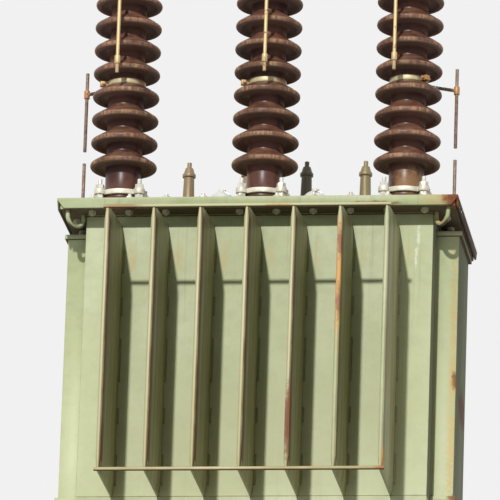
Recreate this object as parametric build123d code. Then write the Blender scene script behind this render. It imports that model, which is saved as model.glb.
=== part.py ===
from build123d import *
from math import cos, radians, sin
import os

# Oil-filled distribution transformer with a finned steel tank, a tray lid, three tall
# high-voltage bushings with two-gap arcing horns, and four low-voltage bushings.
# Millimetres, +Z up. X runs along the row of bushings, the high-voltage side is at -Y,
# and the origin is on the ground at the middle of the footprint.

os.makedirs("parts", exist_ok=True)

# Tank
tank_width = 904.0           # outside faces of the side walls, along X
tank_depth = 364.0           # outside faces of the front and back walls, along Y
wall_thickness = 4.0
wall_height = 757.0

# End boxes: a closed pocket on each side wall, with a plate above and below
end_box_reach = 59.0         # how far it stands out from the side wall
end_box_width = 234.0        # along Y
end_box_shift = 15.0         # how far its middle lies behind the side wall's middle
end_box_sheet = 4.0
end_box_drop = 28.0          # from the rim's underside to the top of the upper plate
end_box_rise = 6.0           # from the foot of the wall to the underside of the lower plate
end_plate_thickness = 12.0
end_plate_proud = 8.0        # how far the plates stand out past the sheet

# Base
skid_height = 100.0
skid_width = 50.0
skid_thickness = 7.0
skid_length = 560.0
skid_spacing = 640.0         # between the webs' outer faces
skid_hole_diameter = 18.0
skid_hole_spacing = 460.0
pan_height = 60.0
pan_thickness = 5.0
pan_ledge = 8.0              # how far the pan's deck reaches in under the walls

# Lid, gasket and rim
lid_width = 1042.0
lid_depth = 494.0
lid_thickness = 5.0
lid_skirt = 28.0             # whole height of the tray
lid_mitre = 18.0             # how far the end of a skirt is cut back at its lower edge
gasket_thickness = 7.0
rim_thickness = 16.0
rim_clearance = 3.0          # from the rim's edge to the inside of the skirt
gasket_setback = 4.0         # from the rim's edge to the gasket's edge

# Cooling fins
fin_count = 7
fin_pitch = 120.0
fin_thickness = 13.0
fin_depth = 245.0
fin_tip_height = 705.0
fin_root_rise = 23.0         # the top edge climbs this much from tip to wall
fin_pinch_height = 36.0      # the welded ends taper over this height
fin_pinch_thickness = 6.0
fin_tip_round = 2.5
bar_diameter = 10.0          # stiffening bars across the fin tips
bar_sink = 2.0               # how far a bar's axis lies inside the tip and the top of a fin
bar_rise = 4.0               # how far the lower bar's axis lies above the foot of a fin
bar_overhang = 4.0

# Lifting loops, one under each corner of the rim
loop_bar = 12.0
loop_radius = 27.0           # to the middle of the bar
loop_leg = 11.0
loop_out = 25.0              # from the side wall's plane out to the middle of the loop
loop_proud = 23.0            # from the front wall's plane out to the middle of the loop
loop_turn = 50.0             # degrees from the X axis

# High-voltage bushings
hv_spacing = 371.0
hv_setback = 131.0           # from the lid's front edge to the bushing axis
hv_pad_diameter = 176.0
hv_pad_height = 8.0
hv_hole_clearance = 4.0
hv_tail_length = 30.0
hv_tail_diameter = 84.0
hv_foot_diameter = 122.0
hv_foot_height = 25.0
hv_neck_diameter = 92.0
hv_shed_diameter = 174.0
hv_shed_count = 9
hv_shed_pitch = 63.5
hv_first_shed = 124.0        # height of the first shed's edge over the lid
hv_shed_edge = 17.0          # thickness of a shed at its edge
hv_shed_edge_cut = 5.5       # the edge is cut back this much, above and below
hv_shed_root_up = 35.5       # from the edge's middle up to where the top meets the neck
hv_shed_hollow = 3.0         # from the edge's middle up to where the underside meets the neck
hv_flare_reach = 10.0        # the top steepens over this distance from the neck
hv_flare_rise = 24.0         # from the edge's middle up to where it starts to steepen
hv_top_over_shed = 47.0      # from the last shed's edge to the top of the porcelain
ring_thickness = 13.0
ring_diameter = 134.0
ring_bore_clearance = 2.0
ring_stud_circle = 146.0
ring_lug_radius = 15.0
ring_stud_count = 4
ring_stud_hole = 14.0
cap_diameter = 98.0
cap_height = 30.0
cap_top_diameter = 58.0
cap_skirt_height = 12.0
hv_stud_diameter = 20.0
hv_stud_length = 46.0
hv_nut_width = 30.0
hv_nut_height = 14.0

# Arcing horns
horn_rod = 9.0
horn_collar = 15.0
horn_collar_height = 21.0
strap_width = 25.0
strap_thickness = 5.0
strap_hole_clearance = 0.5
upper_rod_reach = 120.0      # in front of the bushing axis
upper_rod_tip = 345.0        # heights over the lid
upper_collar_middle = 380.0
upper_rod_stub = 18.0
upper_rod_shift = (-8.0, 7.0, -26.0)
band_shed = 4                # the clamp band sits over this shed, counted from below
band_middle = 348.0          # height over the lid
band_seat_diameter = 95.0
band_thickness = 3.0
band_height = 13.0
ear_reach = 20.0             # how far the bolted ears of the band stand out
ear_thickness = 14.0
ear_bolt_diameter = 8.0
ear_bolt_length = 30.0
ear_headings = (195.0, 195.0, -38.0)  # degrees from the X axis
middle_rod_bottom = 195.0
middle_rod_top = 411.0
middle_collar_middle = 352.0
horn_reach = 142.5           # from the bushing axis to the side rods
side_horn_angle = 35.0       # degrees behind the X axis for the outer bushings
lower_rod_top = 162.0
lower_foot_diameter = 26.0
lower_foot_height = 10.0

# Low-voltage bushings
lv_count = 4
lv_pitch = 156.0
lv_setback = 381.0
lv_shed_diameter = 70.0
lv_core_diameter = 46.0
lv_shed_count = 3
lv_shed_pitch = 30.0
lv_shed_edge = 8.0
lv_foot_diameter = 76.0
lv_foot_height = 16.0
lv_porcelain_height = 112.0
lv_barrel_diameter = 31.0
lv_barrel_top_diameter = 27.0
lv_barrel_height = 64.0
lv_collar_diameter = 35.0
lv_collar_height = 9.0
lv_cone_diameter = 30.0
lv_cone_top_diameter = 20.0
lv_cone_height = 17.0
lv_stud_diameter = 12.0
lv_total_height = 217.0

# Domed covers on the lid
dome_diameter = 70.0
dome_height = 84.0
dome_flange_diameter = 92.0
dome_flange_height = 8.0
dome_knob_diameter = 20.0
dome_knob_height = 5.0
dome_spacing = 245.0
dome_setback = 222.0

# Levels worked out from the sizes above
pan_bottom = skid_height
pan_top = pan_bottom + pan_height
rim_bottom = pan_top + wall_height
rim_top = rim_bottom + rim_thickness
lid_underside = rim_top + gasket_thickness
lid_top = lid_underside + lid_thickness
lid_front = -lid_depth / 2
hv_y = lid_front + hv_setback
lv_y = lid_front + lv_setback
hv_top = hv_first_shed + (hv_shed_count - 1) * hv_shed_pitch + hv_top_over_shed
cap_top = hv_top + cap_height
seat_bottom = band_middle - band_height / 2
seat_top = band_middle + band_height / 2
hv_xs = [-hv_spacing, 0.0, hv_spacing]


def save(part, name):
    part.label = name
    export_step(part, f"parts/{name}.step")


def block(x_range, y_range, z_range):
    (x0, x1), (y0, y1), (z0, z1) = x_range, y_range, z_range
    size = Box(x1 - x0, y1 - y0, z1 - z0)
    return Pos((x0 + x1) / 2, (y0 + y1) / 2, (z0 + z1) / 2) * size


def upright(radius, z0, z1, x=0.0, y=0.0):
    return Pos(x, y, (z0 + z1) / 2) * Cylinder(radius, z1 - z0)


def rod_between(start, end, radius):
    line = Edge.make_line(start, end)
    return extrude(Plane(origin=start, z_dir=line % 0) * Circle(radius), amount=line.length)


def turned(points):
    """Revolve a closed (radius, height) outline about the Z axis."""
    outline = make_face(Polyline(*points, close=True))
    return revolve(Plane.XZ * outline, Axis.Z)


# Tank walls: the side plates fit between the front and back ones
def tank_walls():
    x, y = tank_width / 2, tank_depth / 2
    tall = (pan_top, rim_bottom)
    front = block((-x, x), (-y, -y + wall_thickness), tall)
    back = block((-x, x), (y - wall_thickness, y), tall)
    between = (-y + wall_thickness, y - wall_thickness)
    left = block((-x, -x + wall_thickness), between, tall)
    right = block((x - wall_thickness, x), between, tall)
    return front, back, left, right


for wall, wall_name in zip(tank_walls(), ("front", "back", "left", "right")):
    save(wall, f"tank_{wall_name}_wall")


# End boxes: folded sheet closed by two plates, open only towards the wall it is welded to
def end_box():
    """The box on the right, standing out from the plane X = 0."""
    reach, half = end_box_reach, end_box_width / 2
    top = rim_bottom - end_box_drop
    bottom = pan_top + end_box_rise
    tall = (bottom, top)
    box = block((0, reach), (-half, half), tall)
    box -= block((0, reach - end_box_sheet), (-half + end_box_sheet, half - end_box_sheet), tall)
    plate_y = (-half - end_plate_proud, half + end_plate_proud)
    for plate_top in (top, bottom + end_plate_thickness):
        plate_z = (plate_top - end_plate_thickness, plate_top)
        box += block((0, reach + end_plate_proud), plate_y, plate_z)
    return box


right_box = Pos(tank_width / 2, end_box_shift, 0) * end_box()
save(right_box, "end_box_right")
save(mirror(right_box, about=Plane.YZ), "end_box_left")


# Base pan: closed underneath, with a deck that carries the walls
def base_pan():
    x, y = tank_width / 2, tank_depth / 2
    body = block((-x, x), (-y, y), (pan_bottom, pan_top))
    inside = block(
        (-x + pan_thickness, x - pan_thickness),
        (-y + pan_thickness, y - pan_thickness),
        (pan_bottom + pan_thickness, pan_top - pan_thickness),
    )
    mouth = block(
        (-x + pan_ledge, x - pan_ledge),
        (-y + pan_ledge, y - pan_ledge),
        (pan_top - pan_thickness, pan_top),
    )
    return body - inside - mouth


save(base_pan(), "base_pan")


# Skids: two channels from front to back, open sides facing each other
def skid(side):
    web = side * skid_spacing / 2
    inner = web - side * skid_thickness
    lip = web - side * skid_width
    y = skid_length / 2
    channel = block(sorted((web, lip)), (-y, y), (0, skid_height))
    hollow = block(sorted((inner, lip)), (-y, y), (skid_thickness, skid_height - skid_thickness))
    channel -= hollow
    hole_x = (inner + lip) / 2
    for hole_y in (-skid_hole_spacing / 2, skid_hole_spacing / 2):
        channel -= upright(skid_hole_diameter / 2, 0, skid_thickness, hole_x, hole_y)
    return channel


save(skid(-1), "base_skid_left")
save(skid(1), "base_skid_right")


# Lid: a tray whose four skirts are cut back at the corners
def skirt(length, lean):
    """One skirt along X with mitred ends, its outer face on the XZ plane."""
    half = length / 2
    drop = lid_skirt - lid_thickness
    outline = Polyline(
        (-half, 0), (half, 0), (half - lean, -drop), (-half + lean, -drop), close=True
    )
    return extrude(Plane.XZ * make_face(outline), amount=-lid_thickness)


def lid():
    x, y = lid_width / 2, lid_depth / 2
    tray = block((-x, x), (-y, y), (lid_underside, lid_top))
    long_skirt = skirt(lid_width, lid_mitre)
    short_skirt = skirt(lid_depth, lid_mitre)
    tray += Pos(0, -y, lid_underside) * long_skirt
    tray += Pos(0, y, lid_underside) * Rot(0, 0, 180) * long_skirt
    tray += Pos(x, 0, lid_underside) * Rot(0, 0, 90) * short_skirt
    tray += Pos(-x, 0, lid_underside) * Rot(0, 0, -90) * short_skirt
    for hv_x in hv_xs:
        tray += upright(hv_pad_diameter / 2, lid_top, lid_top + hv_pad_height, hv_x, hv_y)
        hole = hv_tail_diameter / 2 + hv_hole_clearance
        tray -= upright(hole, lid_underside, lid_top + hv_pad_height, hv_x, hv_y)
    return tray


def rim_outline(setback):
    edge = lid_thickness + rim_clearance + setback
    outer = Rectangle(lid_width - 2 * edge, lid_depth - 2 * edge)
    return outer - Rectangle(tank_width - 2 * wall_thickness, tank_depth - 2 * wall_thickness)


save(lid(), "lid")
save(Pos(0, 0, rim_bottom) * extrude(rim_outline(0), rim_thickness), "tank_rim")
gasket = extrude(rim_outline(gasket_setback), gasket_thickness)
save(Pos(0, 0, rim_top) * gasket, "lid_gasket")


# Cooling fins: pressed envelopes, pinched and welded shut at the top and bottom
def fin():
    """One fin standing on z = 0, with its root on y = 0 and its tip towards -Y."""
    top = fin_tip_height + fin_root_rise
    side = Polyline((0, 0), (-fin_depth, 0), (-fin_depth, fin_tip_height), (0, top), close=True)
    body = extrude(Plane.YZ * make_face(side), amount=fin_thickness / 2, both=True)
    taper = (fin_thickness - fin_pinch_thickness) / 2
    for cheek in (0, -1):
        for end in (0, -1):
            face = body.faces().sort_by(Axis.X)[cheek]
            edge = face.edges().sort_by(Axis.Z)[end]
            body = chamfer(edge, fin_pinch_height, taper, reference=face)
    tip = body.faces().sort_by(Axis.Y)[0]
    upright_edges = [e for e in tip.edges() if e.length > fin_tip_height / 2]
    body = fillet(upright_edges, fin_tip_round)
    for bar in fin_bars():
        body -= bar
    return body


def fin_bars():
    """The two bars let into the corners of the fin tips, in the same place as the fins."""
    reach = (fin_count - 1) * fin_pitch / 2 + fin_thickness / 2 + bar_overhang
    y = -fin_depth + bar_sink
    bars = []
    for z in (bar_rise, fin_tip_height - bar_sink):
        bars.append(rod_between((-reach, y, z), (reach, y, z), bar_diameter / 2))
    return bars


front_place = Pos(0, -tank_depth / 2, pan_top)
back_place = Rot(0, 0, 180) * front_place
fin_shape = fin()
for index in range(fin_count):
    x = (index - (fin_count - 1) / 2) * fin_pitch
    save(front_place * Pos(x, 0, 0) * fin_shape, f"front_fin_{index + 1}")
    save(back_place * Pos(-x, 0, 0) * fin_shape, f"back_fin_{index + 1}")
for level, bar_shape in zip(("bottom", "top"), fin_bars()):
    save(front_place * bar_shape, f"front_{level}_bar")
    save(back_place * bar_shape, f"back_{level}_bar")


# Lifting loops: round bar bent to a U and welded under the rim
def lifting_loop():
    left_leg = Line((-loop_radius, 0, 0), (-loop_radius, 0, -loop_leg))
    bend = ThreePointArc(
        (-loop_radius, 0, -loop_leg), (0, 0, -loop_leg - loop_radius), (loop_radius, 0, -loop_leg)
    )
    right_leg = Line((loop_radius, 0, -loop_leg), (loop_radius, 0, 0))
    path = Wire([left_leg, bend, right_leg])
    section = Plane(origin=(-loop_radius, 0, 0), z_dir=(0, 0, -1)) * Circle(loop_bar / 2)
    return sweep(section, path=path)


loops = []
for side_x in (-1, 1):
    for side_y in (-1, 1):
        loop_x = side_x * (tank_width / 2 + loop_out)
        loop_y = side_y * (tank_depth / 2 + loop_proud)
        turn = side_x * side_y * loop_turn
        loops.append(Pos(loop_x, loop_y, rim_bottom) * Rot(0, 0, turn) * lifting_loop())
save(Compound(children=loops), "lifting_loops")


# High-voltage bushings
def hv_porcelain():
    """Porcelain on its axis, heights counted from the lid's top."""
    tail, neck = hv_tail_diameter / 2, hv_neck_diameter / 2
    foot, shed = hv_foot_diameter / 2, hv_shed_diameter / 2
    foot_top = hv_pad_height + hv_foot_height
    outline = [(0, hv_pad_height - hv_tail_length), (tail, hv_pad_height - hv_tail_length)]
    outline += [(tail, hv_pad_height), (foot, hv_pad_height), (foot, foot_top), (neck, foot_top)]
    for index in range(hv_shed_count):
        middle = hv_first_shed + index * hv_shed_pitch
        low, high = middle - hv_shed_edge / 2, middle + hv_shed_edge / 2
        outline += [
            (neck, middle + hv_shed_hollow),
            (shed - 2 * hv_shed_edge_cut, low),
            (shed - hv_shed_edge_cut, low),
            (shed, low + hv_shed_edge_cut),
            (shed, high - hv_shed_edge_cut),
            (shed - hv_shed_edge_cut, high),
            (neck + hv_flare_reach, middle + hv_flare_rise),
        ]
        if index + 1 == band_shed:
            seat = band_seat_diameter / 2
            outline += [(seat, seat_bottom), (seat, seat_top), (neck, seat_top)]
        else:
            outline.append((neck, middle + hv_shed_root_up))
    outline += [(neck, hv_top), (0, hv_top)]
    return turned(outline)


def clamp_ring():
    """Ring with four lugs that holds the porcelain's foot down."""
    plan = Circle(ring_diameter / 2)
    circle = ring_stud_circle / 2
    for index in range(ring_stud_count):
        angle = radians(360 / ring_stud_count * (index + 0.5))
        place = Pos(circle * cos(angle), circle * sin(angle))
        plan += place * Circle(ring_lug_radius)
    plan -= Circle(hv_neck_diameter / 2 + ring_bore_clearance)
    for index in range(ring_stud_count):
        angle = radians(360 / ring_stud_count * (index + 0.5))
        plan -= Pos(circle * cos(angle), circle * sin(angle)) * Circle(ring_stud_hole / 2)
    return Pos(0, 0, hv_pad_height + hv_foot_height) * extrude(plan, ring_thickness)


def hv_cap():
    """Metal cap with the terminal stud; the nut clamps the upper horn's strap."""
    skirt_radius, top_radius = cap_diameter / 2, cap_top_diameter / 2
    stud = hv_stud_diameter / 2
    outline = [
        (0, hv_top), (skirt_radius, hv_top), (skirt_radius, hv_top + cap_skirt_height),
        (top_radius, cap_top), (stud, cap_top), (stud, cap_top + hv_stud_length),
        (0, cap_top + hv_stud_length),
    ]
    nut_bottom = cap_top + strap_thickness
    nut = extrude(RegularPolygon(hv_nut_width / 2, 6, major_radius=False), hv_nut_height)
    return turned(outline) + Pos(0, 0, nut_bottom) * nut


def upper_horn(shift):
    """Strap under the terminal nut, with the rod that hangs in front of the sheds."""
    rod_x, rod_y = shift, -upper_rod_reach
    middle = cap_top + strap_thickness / 2
    length = (rod_x**2 + rod_y**2) ** 0.5
    strap = Box(length, strap_width, strap_thickness) + Pos(-length / 2, 0, 0) * Cylinder(
        strap_width / 2, strap_thickness
    )
    strap += Pos(length / 2, 0, 0) * Cylinder(strap_width / 2, strap_thickness)
    heading = Vector(1, 0).get_signed_angle(Vector(rod_x, rod_y), Vector(0, 0, 1))
    horn = Pos(rod_x / 2, rod_y / 2, middle) * Rot(0, 0, heading) * strap
    hole = hv_stud_diameter / 2 + strap_hole_clearance
    horn -= upright(hole, cap_top, cap_top + strap_thickness)
    rod_top = cap_top + strap_thickness + upper_rod_stub
    horn += upright(horn_rod / 2, upper_rod_tip, rod_top, rod_x, rod_y)
    collar = horn_collar_height / 2
    low, high = upper_collar_middle - collar, upper_collar_middle + collar
    return horn + upright(horn_collar / 2, low, high, rod_x, rod_y)


def band_ear(low, high):
    """Pair of ears standing out along +X, drawn together by a bolt across them."""
    start = (band_seat_diameter + band_thickness) / 2
    end = start + ear_reach
    half = ear_thickness / 2
    ear = block((start, end), (-half, half), (low, high))
    bolt_x = end - ear_bolt_diameter
    bolt_y = ear_bolt_length / 2
    return ear + rod_between(
        (bolt_x, -bolt_y, band_middle), (bolt_x, bolt_y, band_middle), ear_bolt_diameter / 2
    )


def middle_horn(rod_x, rod_y, ear_heading):
    """Clamp band over a shed's root, with the arm and rod that both gaps share."""
    inner = band_seat_diameter / 2
    low, high = seat_bottom, seat_top
    heading = Vector(rod_x, rod_y).normalized()
    start = heading * (inner + band_thickness / 2)
    horn = upright(inner + band_thickness, low, high)
    horn += Rot(0, 0, ear_heading) * band_ear(low, high)
    horn += rod_between(
        (start.X, start.Y, band_middle), (rod_x, rod_y, middle_collar_middle), horn_rod / 2
    )
    horn += upright(horn_rod / 2, middle_rod_bottom, middle_rod_top, rod_x, rod_y)
    collar = horn_collar_height / 2
    collar_low, collar_high = middle_collar_middle - collar, middle_collar_middle + collar
    horn += upright(horn_collar / 2, collar_low, collar_high, rod_x, rod_y)
    return horn - upright(inner, low, high)


def lower_horn(rod_x, rod_y):
    """Earthed rod that stands on the lid under the middle rod."""
    rod = upright(horn_rod / 2, 0, lower_rod_top, rod_x, rod_y)
    return rod + upright(lower_foot_diameter / 2, 0, lower_foot_height, rod_x, rod_y)


porcelain_shape = hv_porcelain()
ring_shape = clamp_ring()
cap_shape = hv_cap()
horn_headings = (180.0 - side_horn_angle, 90.0, side_horn_angle)
for index, hv_x in enumerate(hv_xs):
    number = index + 1
    place = Pos(hv_x, hv_y, lid_top)
    angle = radians(horn_headings[index])
    rod = (horn_reach * cos(angle), horn_reach * sin(angle))
    horns = [
        upper_horn(upper_rod_shift[index]),
        middle_horn(*rod, ear_headings[index]),
        lower_horn(*rod),
    ]
    save(place * porcelain_shape, f"hv_porcelain_{number}")
    save(place * ring_shape, f"hv_clamp_ring_{number}")
    save(place * cap_shape, f"hv_cap_{number}")
    save(place * Compound(children=horns), f"hv_horns_{number}")


# Low-voltage bushings
def lv_porcelain():
    core, shed = lv_core_diameter / 2, lv_shed_diameter / 2
    foot = lv_foot_diameter / 2
    outline = [(0, 0), (foot, 0), (foot, lv_foot_height), (core, lv_foot_height)]
    for index in range(lv_shed_count):
        low = lv_foot_height + (index + 0.4) * lv_shed_pitch
        outline += [
            (core, low), (shed, low), (shed, low + lv_shed_edge), (core, low + 2 * lv_shed_edge)
        ]
    outline += [(core, lv_porcelain_height), (0, lv_porcelain_height)]
    return turned(outline)


def lv_terminal():
    barrel, barrel_head = lv_barrel_diameter / 2, lv_barrel_top_diameter / 2
    collar, stud = lv_collar_diameter / 2, lv_stud_diameter / 2
    barrel_top = lv_porcelain_height + lv_barrel_height
    collar_top = barrel_top + lv_collar_height
    cone_top = collar_top + lv_cone_height
    outline = [
        (0, lv_porcelain_height), (barrel, lv_porcelain_height), (barrel_head, barrel_top),
        (collar, barrel_top), (collar, collar_top), (lv_cone_diameter / 2, collar_top),
        (lv_cone_top_diameter / 2, cone_top), (stud, cone_top), (stud, lv_total_height),
        (0, lv_total_height),
    ]
    return turned(outline)


lv_terminals = []
lv_shape = lv_porcelain()
lv_metal = lv_terminal()
for index in range(lv_count):
    place = Pos((index - (lv_count - 1) / 2) * lv_pitch, lv_y, lid_top)
    save(place * lv_shape, f"lv_porcelain_{index + 1}")
    lv_terminals.append(place * lv_metal)
save(Compound(children=lv_terminals), "lv_terminals")


# Domed covers
def dome():
    flange = upright(dome_flange_diameter / 2, 0, dome_flange_height)
    radius = dome_diameter / 2
    straight = dome_height - radius
    outline = Polyline((0, 0), (radius, 0), (radius, straight))
    crown = RadiusArc((radius, straight), (0, dome_height), -radius)
    close = Line((0, dome_height), (0, 0))
    profile = make_face(outline.edges() + crown.edges() + close.edges())
    body = flange + revolve(Plane.XZ * profile, Axis.Z)
    return body + upright(dome_knob_diameter / 2, straight, dome_height + dome_knob_height)


dome_shape = dome()
domes = []
for side in (-1, 1):
    place = Pos(side * dome_spacing / 2, lid_front + dome_setback, lid_top)
    domes.append(place * dome_shape)
save(Compound(children=domes), "lid_domes")
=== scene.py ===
"""Dress an oil-filled transformer: paint, rust, glazed porcelain, fasteners and studio."""
import logging
from collections.abc import Sequence
from dataclasses import asdict, dataclass, field
from enum import Enum
from math import cos, pi, radians, sin
from typing import Any

import bmesh
import bpy
from mathutils import Matrix, Vector


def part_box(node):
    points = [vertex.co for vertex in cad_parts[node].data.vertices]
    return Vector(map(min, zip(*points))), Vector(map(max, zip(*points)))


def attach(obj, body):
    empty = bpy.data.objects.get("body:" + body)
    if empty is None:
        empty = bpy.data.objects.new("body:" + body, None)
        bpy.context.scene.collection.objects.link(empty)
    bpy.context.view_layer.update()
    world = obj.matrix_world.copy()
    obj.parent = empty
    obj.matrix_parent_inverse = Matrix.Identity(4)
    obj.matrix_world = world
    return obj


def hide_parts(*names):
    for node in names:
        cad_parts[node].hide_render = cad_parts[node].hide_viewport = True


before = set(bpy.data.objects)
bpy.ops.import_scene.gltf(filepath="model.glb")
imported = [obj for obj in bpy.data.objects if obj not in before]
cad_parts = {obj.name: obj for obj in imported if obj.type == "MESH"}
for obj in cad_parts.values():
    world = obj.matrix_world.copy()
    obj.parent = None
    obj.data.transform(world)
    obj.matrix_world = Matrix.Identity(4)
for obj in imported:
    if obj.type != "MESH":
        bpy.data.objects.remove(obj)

LOG = logging.getLogger("transformer")
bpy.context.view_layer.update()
BODY = "root"
MERGE = 0.00002
FLAT = radians(1.0)
CREASE = radians(38.0)
SCALAR_RESULTS = ("DISTANCE", "DOT_PRODUCT", "LENGTH")

Point = tuple[float, float, float]
Spot = tuple[float, float]
Outline = list[Spot]
Colour = tuple[float, float, float, float]
Socket = bpy.types.NodeSocket
Node = bpy.types.Node
Tree = bpy.types.NodeTree
Mesh = bpy.types.Mesh
Material = bpy.types.Material
Piece = bpy.types.Object
Shape = bmesh.types.BMesh
Layer = tuple[Any, Any]


def display(red: int, green: int, blue: int) -> Colour:
    """Turn a display colour into the linear one that shaders take.

    Args:
        red: Red from 0 to 255.
        green: Green from 0 to 255.
        blue: Blue from 0 to 255.

    Returns:
        The linear colour with full opacity.
    """
    toe, slope, gamma, lift = 0.04045, 12.92, 2.4, 0.055
    parts = []
    for part in (red / 255, green / 255, blue / 255):
        parts.append(part / slope if part <= toe else ((part + lift) / (1 + lift)) ** gamma)
    return (*parts, 1.0)


TAN = display(190, 168, 112)
CREAM = display(212, 198, 156)
WHITE = display(255, 255, 255)
LID_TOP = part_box("lid_domes")[0].z
LID_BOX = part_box("lid")
WALL_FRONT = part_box("tank_front_wall")[0].y
BOX_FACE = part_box("end_box_right")[0].y
BOX_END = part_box("end_box_right")[1].x
LOOP_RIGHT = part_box("lifting_loops")[1].x - 0.022


class Wiring:
    """Adds nodes to one tree and links them."""

    def __init__(self, tree: Tree) -> None:
        """Keep the tree that the nodes go into."""
        self.tree = tree

    def feed(self, socket: Socket, value: Any) -> None:
        """Link a socket to an output, or set its value.

        Args:
            socket: The input that is fed.
            value: An output socket or a plain value.
        """
        if isinstance(value, bpy.types.NodeSocket):
            self.tree.links.new(value, socket)
        else:
            socket.default_value = value

    def add(self, kind: str, sockets: dict[str | int, Any] | None = None, **settings: Any) -> Node:
        """Add one node.

        Args:
            kind: Blender's name for the type of node.
            sockets: Values or links, by the input's name or number.
            settings: Attributes of the node, set before its inputs are.

        Returns:
            The new node.
        """
        node = self.tree.nodes.new(kind)
        for name, value in settings.items():
            setattr(node, name, value)
        for name, value in (sockets or {}).items():
            self.feed(node.inputs[name], value)
        return node

    def maths(self, operation: str, *values: Any, clamp: bool = False) -> Socket:
        """Work out one number from others, from the first one on.

        Args:
            operation: Blender's name for the operation.
            values: The numbers or links; one alone is taken with 0.
            clamp: Whether each result is kept between 0 and 1.

        Returns:
            The result.
        """
        result = values[0]
        for value in values[1:] or (0.0,):
            sockets = {0: result, 1: value}
            result = self.add("ShaderNodeMath", sockets, operation=operation, use_clamp=clamp).outputs[0]
        return result

    def vectors(self, operation: str, first: Any, second: Any = (0.0, 0.0, 0.0)) -> Socket:
        """Work out one vector or number from two vectors."""
        node = self.add("ShaderNodeVectorMath", {0: first, 1: second}, operation=operation)
        return node.outputs["Value" if operation in SCALAR_RESULTS else "Vector"]

    def ramp(self, value: Any, low: Any, high: Any, start: Any = 0.0, end: Any = 1.0) -> Socket:
        """Turn a range of values smoothly into another.

        Args:
            value: The value that is mapped.
            low: Where the range starts.
            high: Where the range ends.
            start: The result at and before the start.
            end: The result at and after the end.

        Returns:
            The mapped value.
        """
        sockets = {"Value": value, "From Min": low, "From Max": high, "To Min": start, "To Max": end}
        return self.add("ShaderNodeMapRange", sockets, interpolation_type="SMOOTHSTEP").outputs[0]

    def noise(self, vector: Any, scale: Any, detail: float = 4.0, roughness: float = 0.55) -> Socket:
        """Cloudy values around a half, from a vector."""
        sockets = {"Vector": vector, "Scale": scale, "Detail": detail, "Roughness": roughness}
        return self.add("ShaderNodeTexNoise", sockets).outputs[0]

    def mix(self, factor: Any, under: Any, over: Any) -> Socket:
        """Lay one colour over another by a factor."""
        return self.add("ShaderNodeMix", {0: factor, 6: under, 7: over}, data_type="RGBA").outputs[2]

    def layered(self, colour: Any, layers: Sequence[Layer]) -> Socket:
        """Lay colours over one another.

        Args:
            colour: The lowest colour.
            layers: A mask and a colour for each layer, the lowest first.

        Returns:
            The mixed colour.
        """
        for mask, tint in layers:
            colour = self.mix(mask, colour, tint)
        return colour

    def place(self, *stretch: float) -> Socket:
        """Coordinates on the object in metres, or three shares of them."""
        spot = self.add("ShaderNodeTexCoord").outputs["Object"]
        return self.vectors("MULTIPLY", spot, stretch) if stretch else spot

    def split(self, vector: Any) -> tuple[Socket, Socket, Socket]:
        """The three parts of a vector."""
        node = self.add("ShaderNodeSeparateXYZ", {0: vector})
        return node.outputs[0], node.outputs[1], node.outputs[2]

    def facing(self) -> tuple[Socket, Socket, Socket]:
        """How far the surface looks to the right, back and up."""
        return self.split(self.add("ShaderNodeNewGeometry").outputs["Normal"])

    def raised(self, height: Any) -> Socket:
        """A vector that points up by a height."""
        return self.add("ShaderNodeCombineXYZ", {"Z": height}).outputs[0]


class Pattern(Enum):
    """Effects that more than one finish uses, with the defaults of their inputs."""

    EDGE_WEAR = ("edge wear", {"Radius": 0.004, "Breakup": 30.0, "Amount": 1.0})
    # Ambient occlusion darkening in corners and gaps: painted shade, with grime.
    CREVICE_GRIME = ("crevice grime", {"Distance": 0.04, "Amount": 1.0})
    RAIN_STREAKS = ("rain streaks", {"Width": 0.012, "Length": 0.5, "Top": 0.95, "Amount": 1.0})
    SETTLED_DUST = ("settled dust", {"Scale": 40.0, "Steepest": 0.15, "Cover": 0.5, "Amount": 1.0})
    MARK = (
        "mark",
        {"Centre": (0.0, 0.0, 0.0), "Reach": (0.05, 0.05, 0.05), "Ragged": 0.6, "Scale": 45.0, "Amount": 1.0},
    )
    RUST_COLOUR = ("rust colour", {"Scale": 60.0, "Brightness": 0.5})


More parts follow.
